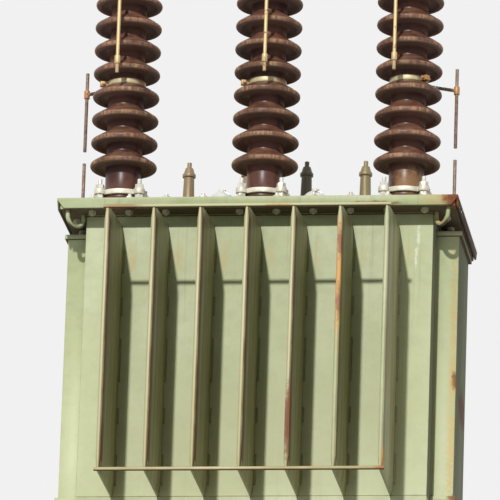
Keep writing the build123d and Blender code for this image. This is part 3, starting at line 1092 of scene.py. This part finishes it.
class ShedStackTree(GrowthTree):
    """Sheds stacked at an even pitch between a foot and a head, one of them with a band seat."""

    def __init__(self) -> None:
        """Build the tree."""
        inputs = {
            "Shed": "Object", "Seated Shed": "Object", "Count": 9, "Pitch": 0.06, "First": 0.13,
            "Seat Index": -1, "Merge": 0.0001,
        }
        super().__init__("shed stack", inputs)
        given = self.given
        sockets = {"Count": given["Count"], "Start Location": self.raised(given["First"])}
        sockets["Offset"] = self.raised(given["Pitch"])
        line = self.add("GeometryNodeMeshLine", sockets, mode="OFFSET").outputs[0]
        sockets = {2: self.add("GeometryNodeInputIndex").outputs[0], 3: given["Seat Index"]}
        seated = self.add("FunctionNodeCompare", sockets, data_type="INT", operation="EQUAL").outputs[0]
        plain = self.add("FunctionNodeBooleanMath", {0: seated}, operation="NOT").outputs[0]
        parts = [given["Base"]]
        for chosen, label in ((plain, "Shed"), (seated, "Seated Shed")):
            source = self.add("GeometryNodeObjectInfo", {"Object": given[label]}).outputs["Geometry"]
            sockets = {"Points": line, "Instance": source, "Selection": chosen}
            parts.append(self.add("GeometryNodeInstanceOnPoints", sockets).outputs[0])
        real = self.add("GeometryNodeRealizeInstances", {0: self.joined(parts)}).outputs[0]
        sockets = {"Geometry": real, "Distance": given["Merge"]}
        self.end(self.add("GeometryNodeMergeByDistance", sockets).outputs[0])


@dataclass
class Seams:
    """Straight seams that a weld tree starts from."""

    points: list[Point] = field(default_factory=list)
    edges: list[tuple[int, int]] = field(default_factory=list)

    def add(self, start: Point, end: Point) -> None:
        """Add one seam."""
        self.edges.append((len(self.points), len(self.points) + 1))
        self.points += [start, end]

    def mesh(self, name: str) -> Mesh:
        """The seams as a mesh of loose edges."""
        return points_mesh(name, self.points, self.edges)


@dataclass(frozen=True)
class Finishes:
    """Every finish of the object, built once."""

    paint: Finish
    fin_paint: Finish
    bar_paint: Finish
    base_paint: Finish
    weld: Finish
    seal: Finish
    porcelain: Finish
    galvanised: Finish
    bolts: Finish
    horn: Finish
    terminal: Finish
    cover: Finish


def body_marks() -> tuple[Mark, ...]:
    """Rust and stains on the tank, the end boxes and the lid, and painted shade on the lid's right side.

    Returns:
        The marks.
    """
    front, right = LID_BOX[0].y, LID_BOX[1].x
    corner_x = BOX_END - 0.010
    drip, speckle = display(226, 226, 196), display(206, 174, 104)
    return (
        Mark("lid corner rust", (right, front, LID_TOP - 0.012), (0.050, 0.05, 0.030), 0.30, 30.0),
        Mark("lid corner fringe", (right - 0.05, front, LID_TOP - 0.014), (0.050, 0.03, 0.022),
             0.4, 30.0, 0.7, TAN),
        # Painted shade: the lid's right side darkened to a rust brown.
        Mark("lid side dirt", (right, 0.0, LID_TOP - 0.016), (0.01, 0.36, 0.034),
             0.3, 26.0, 0.92, display(84, 56, 38)),
        Mark("right loop", (LOOP_RIGHT, front + 0.042, LID_TOP - 0.052), (0.034, 0.03, 0.032),
             0.2, 40.0, 0.7, display(208, 180, 130)),
        Mark("lid edge rust, right", (0.300, front, LID_TOP - 0.023), (0.085, 0.02, 0.008), 0.45, 40.0, 0.9),
        Mark("lid edge rust, left", (-0.340, front, LID_TOP - 0.025), (0.045, 0.02, 0.007), 0.45, 40.0, 0.8),
        Mark("box rust halo", (corner_x + 0.002, BOX_FACE, 0.492), (0.024, 0.02, 0.060),
             0.6, 60.0, 0.6, display(206, 170, 96)),
        Mark("box rust", (corner_x + 0.001, BOX_FACE, 0.492), (0.014, 0.02, 0.030), 0.45, 60.0, 0.85),
        Mark("box foot rust", (BOX_END, BOX_FACE - 0.01, 0.174), (0.028, 0.03, 0.018), 0.35, 60.0, 0.9),
        Mark("box top edge", (BOX_END, BOX_FACE, 0.888), (0.075, 0.016, 0.008),
             0.3, 40.0, 0.6, display(206, 168, 142)),
        Mark("upper speckles", (corner_x - 0.008, BOX_FACE, 0.65), (0.008, 0.03, 0.20),
             1.8, 150.0, 0.7, speckle),
        Mark("lower speckles", (corner_x - 0.008, BOX_FACE, 0.32), (0.009, 0.03, 0.17),
             1.6, 130.0, 0.8, speckle),
        Mark("red lead patch", (BOX_END, 0.05, 0.455), (0.04, 0.080, 0.060),
             0.4, 40.0, 0.95, display(96, 36, 22)),
        Mark("upper drip", (0.414, WALL_FRONT, 0.850), (0.005, 0.02, 0.030), 0.8, 70.0, 0.65, drip),
        Mark("lower drip", (0.409, WALL_FRONT, 0.800), (0.004, 0.02, 0.034), 0.8, 70.0, 0.65, drip),
    )


def fin_marks() -> tuple[Mark, ...]:
    """Rust on single fins.

    Returns:
        The marks.
    """
    axes, tip = fins.axes(), -fins.tip
    dark, orange = display(120, 58, 20), display(202, 146, 62)
    return (
        Mark("fin 5 rust", (axes[4], tip, 0.290), (0.011, 0.03, 0.105), 0.35, 60.0, 0.95, dark),
        Mark("fin 6 rust", (axes[5] + 0.001, tip, 0.670), (0.013, 0.02, 0.190), 0.35, 55.0, 0.95, orange),
        Mark("fin 6 upper spot", (axes[5] + 0.002, tip, 0.760), (0.008, 0.02, 0.050), 0.5, 55.0, 0.9, dark),
        Mark("fin 6 lower spot", (axes[5] + 0.002, tip, 0.600), (0.007, 0.02, 0.050), 0.5, 55.0, 0.8, dark),
        Mark("fin 7 foot", (axes[6] + 0.005, tip, 0.185), (0.006, 0.03, 0.045), 0.35, 55.0, 0.8, orange),
        Mark("fin 1 head", (axes[0], tip, fins.head - 0.03), (0.012, 0.03, 0.020), 0.4, 55.0, 0.7, TAN),
    )


def bar_marks() -> tuple[Mark, ...]:
    """Paint and rust on the bars across the fins.

    Returns:
        The marks.
    """
    low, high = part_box("front_top_bar")
    return (
        Mark("top bars", (0.0, 0.0, high.z), (2.0, 2.0, 0.05), 0.05, 40.0, 0.85, display(198, 196, 146)),
        Mark("left end", (-0.33, low.y, high.z), (0.06, 0.05, 0.03), 0.4, 40.0, 0.8, display(168, 122, 78)),
        Mark("middle run", (0.078, low.y, low.z), (0.046, 0.03, 0.008),
             0.5, 50.0, 0.9, display(184, 134, 66)),
        Mark("bottom right end", (high.x, low.y, fins.foot), (0.026, 0.03, 0.03),
             0.4, 60.0, 0.9, display(176, 112, 58)),
    )


def horn_marks() -> tuple[Mark, ...]:
    """Paler plating on the clamp bands, painted shade on their front right and on the arms, and a warmer tone
    on the front rods.

    Returns:
        The marks.
    """
    band_height, collar_height, rod_height = 0.348, 0.352, 0.54
    ear_reach, arm_reach, collar_reach = 0.070, 0.105, 0.1425
    headings, ears = (145.0, 90.0, 35.0), (195.0, 195.0, -38.0)

    def around(centre: Vector, radius: float, degrees: float, height: float) -> Point:
        """A point at a radius and heading from a bushing's axis."""
        angle = radians(degrees)
        return (centre.x + radius * cos(angle), centre.y + radius * sin(angle), LID_TOP + height)

    marks = []
    for number, (heading, ear) in enumerate(zip(headings, ears), 1):
        cap = f"hv_cap_{number}"
        axis = above_middle(cap, LID_TOP + band_height)
        # Painted shade: a darker orange-brown patch on the front right of each band.
        shaded_side = (axis.x + 0.046, axis.y - 0.026, axis.z)
        rod = (axis.x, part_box(cap)[0].y - 0.07, LID_TOP + rod_height)
        marks += [
            Mark("band", tuple(axis), (0.090, 0.090, 0.020), 0.05, 50.0, 1.0, display(216, 202, 156)),
            Mark("band stain", shaded_side, (0.024, 0.024, 0.030), 0.4, 50.0, 0.75, display(142, 96, 56)),
            Mark("ear", around(axis, ear_reach, ear, band_height), (0.022, 0.022, 0.022),
                 0.2, 50.0, 0.8, display(200, 146, 84)),
            Mark("front rod", rod, (0.10, 0.05, 0.30), 0.05, 50.0, 0.9, display(232, 202, 146)),
            # Painted shade: the arms between band and collar darkened almost to black.
            Mark("arm", around(axis, arm_reach, heading, band_height), (0.034, 0.034, 0.020),
                 0.05, 50.0, 0.85, display(58, 48, 42)),
            Mark("collar", around(axis, collar_reach, heading, collar_height), (0.018, 0.018, 0.020),
                 0.1, 50.0, 0.8, display(196, 144, 88)),
        ]
    return tuple(marks)


def terminal_marks() -> tuple[Mark, ...]:
    """Different tarnish on each of the short bushings' terminals.

    Returns:
        The marks.
    """
    tints = (display(158, 138, 106), display(172, 150, 112), display(114, 106, 92), display(152, 138, 100))
    marks = []
    for number, tint in enumerate(tints, 1):
        node = f"lv_porcelain_{number}"
        centre = above_middle(node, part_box(node)[1].z + 0.05)
        marks.append(Mark(f"terminal {number}", tuple(centre), (0.06, 0.06, 0.16), 0.1, 60.0, 1.0, tint))
    return tuple(marks)


def brown_glaze() -> Glaze:
    """Glaze laid out over the tall bushings, with dirt on the foot of the right one.

    Returns:
        The glaze.
    """
    axes = tuple(above_middle(f"hv_cap_{number}", 0.0) for number in (1, 2, 3))
    foot = (axes[2].x + 0.02, axes[2].y - 0.05, LID_TOP + 0.065)
    dirt = Mark("foot dirt", foot, (0.050, 0.05, 0.045), 0.6, 60.0, 0.6, display(166, 128, 84))
    return Glaze("brown glaze", display(66, 38, 31), display(110, 70, 57), axes, shed=0.087, marks=(dirt,))


def build_finishes() -> Finishes:
    """Build every finish.

    Returns:
        The finishes.
    """
    green, faded_green = display(177, 184, 132), display(194, 201, 157)
    paint = Paint("pale green paint", green, faded_green, marks=body_marks(), bay_stains=True)
    fin_paint = Paint(
        "fin paint", green, display(196, 202, 157), wear=0.3, streaks=0.7, underside=0.3,
        marks=fin_marks(), fin_edges=True,
    )
    bar_paint = Paint("bar paint", CREAM, display(188, 168, 116), wear_radius=0.005, marks=bar_marks())
    base_paint = Paint("base paint", display(176, 182, 138), display(194, 198, 156), wear=0.9, grime=0.8)
    weld = Paint("painted weld", display(124, 122, 86), display(142, 140, 102), wear=0.1, grime=0.8)
    zinc = Metal(
        "galvanised steel", display(238, 231, 212), display(208, 200, 180), shine=0.25, roughness=0.5,
        rust=0.12,
    )
    # The nuts under the rim are darkened: dirt, with painted shade.
    low_nuts = (0.0, 0.0, LID_TOP - 0.045)
    dirt = Mark("dirty nuts", low_nuts, (2.0, 2.0, 0.022), 0.05, 40.0, 0.9, display(176, 168, 134))
    bolts = Metal(
        "plated bolts", display(238, 236, 226), display(206, 198, 180), shine=0.2, roughness=0.5, rust=0.18,
        scale=90.0, marks=(dirt,),
    )
    horn = Metal(
        "horn metal", display(160, 136, 116), display(114, 92, 82), shine=0.3, roughness=0.5, rust=0.3,
        scale=80.0, marks=horn_marks(),
    )
    terminal = Metal(
        "terminals", display(150, 130, 92), display(118, 102, 74), shine=0.3, roughness=0.5, rust=0.1,
        scale=70.0, marks=terminal_marks(),
    )
    cover = Metal(
        "white covers", display(240, 240, 232), display(224, 224, 212), shine=0.0, roughness=0.42, rust=0.1,
        scale=30.0,
    )
    return Finishes(
        paint=Finish(Slot.TANK_PAINT, paint.build()),
        fin_paint=Finish(Slot.TANK_PAINT, fin_paint.build()),
        bar_paint=Finish(Slot.BAR_PAINT, bar_paint.build()),
        base_paint=Finish(Slot.TANK_PAINT, base_paint.build()),
        weld=Finish(Slot.TANK_PAINT, weld.build()),
        seal=Finish(Slot.SEAL, Rubber("lid seal", display(74, 66, 52), display(84, 70, 54)).build()),
        porcelain=Finish(Slot.PORCELAIN, brown_glaze().build()),
        galvanised=Finish(Slot.GALVANISED, zinc.build()),
        bolts=Finish(Slot.GALVANISED, bolts.build()),
        horn=Finish(Slot.HORN, horn.build()),
        terminal=Finish(Slot.TERMINAL, terminal.build()),
        cover=Finish(Slot.COVER, cover.build()),
    )


@dataclass
class Tank:
    """Tank walls, end boxes, pan and skids."""

    finishes: Finishes
    rounding: float = 0.0012
    wall_rounding: float = 0.0006
    weld_leg: float = 0.0045
    sheet_inset: float = 0.008
    plate_inset: float = 0.014
    skid_x: float = 0.320
    skid_drop: float = 0.060
    skid_inset: float = 0.02

    def walls(self) -> None:
        """Copy the walls, pan and boxes with rounded edges and paint them."""
        for side in ("front", "back", "left", "right"):
            dress(f"tank_{side}_wall", f"painted_{side}_wall", self.finishes.paint, self.wall_rounding, 1)
        for side in ("left", "right"):
            dress(f"end_box_{side}", f"painted_end_box_{side}", self.finishes.paint, self.rounding)
            dress(f"base_skid_{side}", f"painted_skid_{side}", self.finishes.base_paint, self.rounding)
        dress("base_pan", "painted_pan", self.finishes.base_paint, self.rounding)

    def welds(self, beads: WeldTree) -> None:
        """Weld the end boxes to the walls, the walls to the rim and the skids to the pan.

        Args:
            beads: The tree that makes weld beads.
        """
        seams = Seams()
        low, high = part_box("tank_front_wall")
        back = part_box("tank_back_wall")[1]
        box_low, box_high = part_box("end_box_right")
        for side in (-1, 1):
            x = side * high.x
            for y in (box_low.y + self.sheet_inset, box_high.y - self.sheet_inset):
                seams.add((x, y, box_low.z + self.plate_inset), (x, y, box_high.z - self.plate_inset))
            seams.add((x, box_low.y, box_high.z), (x, box_high.y, box_high.z))
            seams.add((x, low.y, high.z), (x, back.y, high.z))
            x, z = side * self.skid_x, low.z - self.skid_drop
            seams.add((x, low.y + self.skid_inset, z), (x, back.y - self.skid_inset, z))
        for y in (low.y, back.y):
            seams.add((low.x, y, high.z), (high.x, y, high.z))
        weld = self.finishes.weld
        show(beads.grow("tank_welds", seams.mesh("seams"), weld.material, {"Leg": self.weld_leg}), weld)

    def build(self, beads: WeldTree) -> None:
        """Build and dress the tank."""
        self.walls()
        self.welds(beads)


@dataclass
class Fins:
    """Cooling fins, their bars and the stitches that hold them."""

    finishes: Finishes
    rounding: float = 0.0010
    stitch_leg: float = 0.0048
    stitch_ripple: float = 0.005
    stitches: tuple[Spot, ...] = (
        (0.030, 0.110), (0.195, 0.235), (0.307, 0.422), (0.484, 0.533), (0.600, 0.660),
    )

    def build(self, beads: WeldTree) -> None:
        """Build and dress both rows.

        Args:
            beads: The tree that makes weld beads.
        """
        for side in ("front", "back"):
            for number in range(1, fins.count + 1):
                node = f"{side}_fin_{number}"
                dress(node, f"painted_{node}", self.finishes.fin_paint, self.rounding)
            for level in ("top", "bottom"):
                node = f"{side}_{level}_bar"
                dress(node, f"painted_{node}", self.finishes.bar_paint, self.rounding)
        seams = Seams()
        for y in (WALL_FRONT, -WALL_FRONT):
            for axis in fins.axes():
                for x in (axis - fins.thickness / 2, axis + fins.thickness / 2):
                    for low, high in self.stitches:
                        seams.add((x, y, fins.foot + low), (x, y, fins.foot + high))
        values = {"Leg": self.stitch_leg, "Ripple": self.stitch_ripple}
        weld = self.finishes.weld
        show(beads.grow("fin_stitches", seams.mesh("stitches"), weld.material, values), weld)


@dataclass
class Lid:
    """Tray lid, seal, rim, bolts and lifting loops."""

    finishes: Finishes
    rounding: float = 0.0015
    rim_rounding: float = 0.0010
    seal_rounding: float = 0.0012
    loop_rounding: float = 0.0005
    bolt_row_y: float = 0.218
    bolt_end_x: float = 0.4825
    row_xs: tuple[float, ...] = (0.048, 0.144, 0.240, 0.336, 0.432)
    end_ys: tuple[float, ...] = (0.048, 0.144)

    def bolt_places(self) -> list[Point]:
        """Where the bolts stand, on the lid's top.

        Returns:
            The places.
        """
        places = []
        for side in (-1, 1):
            for x in self.row_xs:
                places += [(sign * x, side * self.bolt_row_y, LID_TOP) for sign in (-1, 1)]
            for y in self.end_ys:
                places += [(side * self.bolt_end_x, sign * y, LID_TOP) for sign in (-1, 1)]
        return places

    def build(self, fasteners: FastenerTree) -> None:
        """Build and dress the lid.

        Args:
            fasteners: The tree that makes studs and nuts.
        """
        paint, bolts = self.finishes.paint, self.finishes.bolts
        dress("lid", "painted_lid", paint, self.rounding)
        dress("tank_rim", "painted_rim", paint, self.rim_rounding)
        dress("lid_gasket", "lid_seal", self.finishes.seal, self.seal_rounding)
        dress("lifting_loops", "painted_loops", paint, self.loop_rounding)
        rim_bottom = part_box("tank_rim")[0].z - LID_TOP
        bolt = Fastener(
            stud_radius=0.005, stud_bottom=rim_bottom - 0.012, stud_top=0.017, nut_radius=0.0105,
            nut_bottom=0.002, washer_radius=0.012, lower_nut=rim_bottom, seed=11,
        )
        mesh = points_mesh("lid bolt places", self.bolt_places())
        show(fasteners.grow("lid_bolts", mesh, bolts.material, bolt.inputs()), bolts)


@dataclass
class TallBushings:
    """Three tall porcelain bushings with their rings, caps and horns."""

    finishes: Finishes
    sides: int = 96
    neck: float = 0.046
    shed: float = 0.087
    edge: float = 0.0085
    pitch: float = 0.0635
    count: int = 9
    first: float = 0.124
    root_up: float = 0.0355
    split: float = 0.042
    hollow: float = 0.003
    flare: tuple[Spot, Spot, Spot] = ((0.021, 0.0180), (0.0082, 0.0248), (0.0008, 0.0280))
    seat: float = 0.0475
    seat_bottom: float = 0.027
    seat_top: float = 0.040
    seat_index: int = 3
    foot: float = 0.061
    foot_bottom: float = 0.008
    foot_top: float = 0.033
    tail: float = 0.042
    tail_bottom: float = -0.022
    fillet: float = 0.004
    top: float = 0.679
    stud_circle: float = 0.073
    rounding: float = 0.0015
    horn_rounding: float = 0.0006

    def shed_outline(self, seated: bool) -> Outline:
        """Outline of one pitch, from neck to neck, with heights from the shed's middle.

        Args:
            seated: Whether a clamp band sits on the root.

        Returns:
            Radius and height of each point, upwards.
        """
        neck, hollow = self.neck, self.hollow
        inner = curve_through((neck, hollow - 0.013), (neck + 0.0005, hollow), (neck + 0.011, hollow), 5)
        rim = arc((self.shed - self.edge, 0.0), self.edge, -118, 62, 12)
        outer = curve_through(inner[-1], (self.shed - 0.017, hollow), rim[0], 5)
        (pull_x, pull_z), (turn_x, turn_z), (root_x, root_z) = self.flare
        turn = (neck + turn_x, turn_z)
        shoulder = curve_through(rim[-1], (neck + pull_x, pull_z), turn, 6)
        points = [(neck, self.split - self.pitch), *inner, *outer[1:-1], *rim, *shoulder[1:]]
        if seated:
            points += [(self.seat, self.seat_bottom), (self.seat, self.seat_top), (neck, self.seat_top)]
        else:
            points += curve_through(turn, (neck + root_x, root_z), (neck, self.root_up), 6)[1:]
        return [*points, (neck, self.split)]

    def foot_and_head(self) -> Shape:
        """The porcelain below the first pitch and above the last one.

        Returns:
            Both, turned.
        """
        neck, foot, tail, fillet = self.neck, self.foot, self.tail, self.fillet
        foot_outline = [
            (0.0, self.tail_bottom), (tail, self.tail_bottom),
            (tail, self.foot_bottom), (foot, self.foot_bottom),
            *arc((foot - fillet, self.foot_top - fillet), fillet, 0, 90, 4),
            (neck + fillet, self.foot_top), (neck, self.foot_top + fillet),
            (neck, self.first + self.split - self.pitch),
        ]
        last_high = self.first + (self.count - 1) * self.pitch + self.split
        head_outline = [(neck, last_high), (neck, self.top), (0.0, self.top)]
        return with_head(turned(self.sides, foot_outline), turned(self.sides, head_outline))

    def porcelain(self, stack: ShedStackTree, number: int, axis: Vector) -> None:
        """Stack one bushing's sheds and dress it.

        Args:
            stack: The tree that stacks sheds.
            number: The bushing's number.
            axis: Its place on the lid.
        """
        shed, seated = (
            new_object(label, mesh_from(label, turned(self.sides, self.shed_outline(has_seat))))
            for label, has_seat in (("plain shed", False), ("seated shed", True))
        )
        values = {
            "Shed": shed, "Seated Shed": seated, "Count": self.count, "Pitch": self.pitch,
            "First": self.first, "Seat Index": self.seat_index,
        }
        glaze = self.finishes.porcelain
        base = mesh_from("foot and head", self.foot_and_head())
        piece = stack.grow(f"glazed_bushing_{number}", base, glaze.material, values)
        for source in (shed, seated):
            bpy.data.objects.remove(source)
        piece.data.transform(Matrix.Translation(axis))
        show(piece, glaze, f"hv_porcelain_{number}")

    def build(self, stack: ShedStackTree, fasteners: FastenerTree) -> None:
        """Build and dress the bushings.

        Args:
            stack: The tree that stacks sheds.
            fasteners: The tree that makes studs and nuts.
        """
        places = []
        zinc, bolts = self.finishes.galvanised, self.finishes.bolts
        for number in (1, 2, 3):
            axis = above_middle(f"hv_cap_{number}", LID_TOP)
            self.porcelain(stack, number, axis)
            dress(f"hv_clamp_ring_{number}", f"clamp_ring_{number}", zinc, self.rounding)
            dress(f"hv_cap_{number}", f"terminal_cap_{number}", zinc, self.rounding)
            horns = f"arcing_horns_{number}"
            dress(f"hv_horns_{number}", horns, self.finishes.horn, self.horn_rounding)
            for angle in (radians(45 + 90 * quarter) for quarter in range(4)):
                places.append(axis + Vector((cos(angle), sin(angle), 0)) * self.stud_circle)
        ring_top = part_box("hv_clamp_ring_1")[1].z - LID_TOP
        stud = Fastener(
            stud_radius=0.0055, stud_bottom=0.0075, stud_top=ring_top + 0.028, nut_radius=0.012,
            nut_bottom=ring_top + 0.002, nut_height=0.011, washer_radius=0.014,
            lower_nut=ring_top - 0.013, seed=5,
        )
        mesh = points_mesh("ring stud places", places)
        show(fasteners.grow("ring_studs", mesh, bolts.material, stud.inputs()), bolts)


@dataclass
class ShortBushings:
    """Four short bushings with their terminals."""

    finishes: Finishes
    count: int = 4
    sides: int = 64
    core: float = 0.023
    shed: float = 0.035
    edge: float = 0.004
    pitch: float = 0.030
    split: float = 0.014
    sheds: int = 3
    first_gap: float = 0.4
    foot: float = 0.038
    foot_top: float = 0.016
    fillet: float = 0.003
    top: float = 0.112
    terminal_rounding: float = 0.0012

    def shed_outline(self) -> Outline:
        """Outline of one pitch, with heights from the shed's middle.

        Returns:
            Radius and height of each point, upwards.
        """
        core = self.core
        under = curve_through((core, -0.009), (core, -0.004), (core + 0.005, -0.004), 4)
        rim = arc((self.shed - self.edge, 0.0), self.edge, -90, 70, 8)
        root = curve_through(rim[-1], (core + 0.002, 0.008), (core, self.split), 6)
        return [(core, self.split - self.pitch), *under, *rim, *root[1:]]

    def foot_and_head(self, first: float) -> Shape:
        """The porcelain below the first pitch and above the last one.

        Args:
            first: Height of the first shed.

        Returns:
            Both, turned.
        """
        corner = (self.foot - self.fillet, self.foot_top - 0.005)
        foot = [(0.0, 0.0), (self.foot, 0.0), *arc(corner, self.fillet, 0, 90, 4)]
        foot.append((self.core, first + self.split - self.pitch))
        last_high = first + (self.sheds - 1) * self.pitch + self.split
        head = [(self.core, last_high), (self.core - 0.004, self.top), (0.0, self.top)]
        return with_head(turned(self.sides, foot), turned(self.sides, head))

    def build(self, stack: ShedStackTree) -> None:
        """Build and dress the bushings.

        Args:
            stack: The tree that stacks sheds.
        """
        first = self.foot_top + self.first_gap * self.pitch + self.edge
        glaze = self.finishes.porcelain
        for number in range(1, self.count + 1):
            shed = new_object("short shed", mesh_from("short shed", turned(self.sides, self.shed_outline())))
            values = {"Shed": shed, "Seated Shed": shed, "Count": self.sheds}
            values |= {"Pitch": self.pitch, "First": first}
            base = mesh_from("short foot", self.foot_and_head(first))
            piece = stack.grow(f"glazed_short_bushing_{number}", base, glaze.material, values)
            bpy.data.objects.remove(shed)
            node = f"lv_porcelain_{number}"
            piece.data.transform(Matrix.Translation(above_middle(node, LID_TOP)))
            show(piece, glaze, node)
        dress("lv_terminals", "short_terminals", self.finishes.terminal, self.terminal_rounding)


@dataclass
class Covers:
    """White domed covers on the lid."""

    finishes: Finishes
    rounding: float = 0.0015

    def build(self) -> None:
        """Build and dress the covers."""
        dress("lid_domes", "domed_covers", self.finishes.cover, self.rounding, 3)


def heading(azimuth: float, elevation: float) -> Vector:
    """Direction from the object, with the azimuth from its front, in degrees."""
    a, e = radians(azimuth), radians(elevation)
    return Vector((sin(a) * cos(e), -cos(a) * cos(e), sin(e)))


@dataclass(frozen=True)
class PhotoView:
    """Camera that sees the object from the photograph's side, in metres and degrees."""

    azimuth: float = 7.85
    elevation: float = -17.50
    roll: float = 1.881
    distance: float = 19.912
    target: Point = (0.01344, -0.442, 0.7369)
    focal_pixels: float = 7822.0
    frame_pixels: float = 500.0
    sensor: float = 36.0
    far: float = 80.0

    def build(self) -> None:
        """Place the camera and make it the scene's."""
        azimuth, roll = radians(self.azimuth), radians(self.roll)
        back = heading(self.azimuth, self.elevation)
        level = Vector((cos(azimuth), sin(azimuth), 0.0))
        up = back.cross(level)
        right = level * cos(roll) + up * sin(roll)
        top = up * cos(roll) - level * sin(roll)
        data = bpy.data.cameras.new("photo view")
        data.sensor_width = self.sensor
        data.lens = self.focal_pixels / self.frame_pixels * self.sensor
        data.clip_end = self.far
        camera = bpy.data.objects.new("photo view", data)
        bpy.context.scene.collection.objects.link(camera)
        place = Vector(self.target) + back * self.distance
        camera.matrix_world = Matrix.Translation(place) @ Matrix((right, top, back)).transposed().to_4x4()
        bpy.context.scene.camera = camera


@dataclass(frozen=True)
class Lamp:
    """Soft sun, with its direction and width in degrees."""

    name: str
    azimuth: float
    elevation: float
    strength: float
    width: float

    def build(self) -> None:
        """Add the lamp."""
        data = bpy.data.lights.new(self.name, "SUN")
        data.energy, data.angle = self.strength, radians(self.width)
        lamp = bpy.data.objects.new(self.name, data)
        towards = heading(self.azimuth, self.elevation)
        lamp.rotation_euler = towards.to_track_quat("Z", "Y").to_euler()
        bpy.context.scene.collection.objects.link(lamp)


@dataclass(frozen=True)
class Studio:
    """Pale floor, soft lamps and a pale world."""

    floor_size: float = 16.0
    floor_colour: Colour = display(208, 208, 204)
    lamps: tuple[Lamp, ...] = (
        Lamp("key light", -6.7, 28.0, 2.55, 2.0),
        Lamp("fill light", 180.0, 38.0, 0.8, 10.0),
    )
    world_strength: float = 0.285
    backdrop_strength: float = 0.88
    sky_tint: Colour = display(236, 245, 255)

    def floor(self) -> None:
        """Lay the floor, which is clear when seen from below."""
        half = self.floor_size / 2
        mesh = bpy.data.meshes.new("floor")
        corners = [(-half, -half, 0), (half, -half, 0), (half, half, 0), (-half, half, 0)]
        mesh.from_pydata(corners, [], [(0, 1, 2, 3)])
        surface = Surface("studio floor")
        surface.shade({"Base Color": self.floor_colour, "Roughness": 0.9})
        clear = surface.add("ShaderNodeBsdfTransparent").outputs[0]
        below = surface.add("ShaderNodeNewGeometry").outputs["Backfacing"]
        either = surface.add("ShaderNodeMixShader", {0: below, 1: surface.shader.outputs[0], 2: clear})
        surface.feed(surface.tree.nodes["Material Output"].inputs["Surface"], either.outputs[0])
        mesh.materials.append(surface.material)
        new_object("studio_floor", mesh)

    def world(self) -> None:
        """Light the object from all around, and show a pale backdrop."""
        world = bpy.data.worlds.new("studio")
        world.use_nodes = True
        wiring = Wiring(world.node_tree)
        sky = world.node_tree.nodes["Background"].inputs
        path = wiring.add("ShaderNodeLightPath").outputs
        rays = (path["Is Camera Ray"], path["Is Glossy Ray"], path["Is Transmission Ray"])
        seen = wiring.maths("MAXIMUM", *rays)
        wiring.feed(sky["Color"], wiring.mix(seen, self.sky_tint, WHITE))
        extra = wiring.maths("MULTIPLY", seen, self.backdrop_strength - self.world_strength)
        wiring.feed(sky["Strength"], wiring.maths("ADD", extra, self.world_strength))
        bpy.context.scene.world = world

    def build(self) -> None:
        """Build the studio."""
        self.floor()
        self.world()
        for lamp in self.lamps:
            lamp.build()


def main() -> None:
    """Build the object's finishes and pieces in order, then the studio."""
    logging.basicConfig(level=logging.INFO, format="%(name)s: %(message)s")
    bpy.context.scene.view_settings.view_transform = "Standard"
    finishes = build_finishes()
    beads, fasteners, stack = WeldTree(), FastenerTree(), ShedStackTree()
    Tank(finishes).build(beads)
    Fins(finishes).build(beads)
    Lid(finishes).build(fasteners)
    TallBushings(finishes).build(stack, fasteners)
    ShortBushings(finishes).build(stack)
    Covers(finishes).build()
    Studio().build()
    PhotoView().build()


if __name__ == "__main__":
    main()
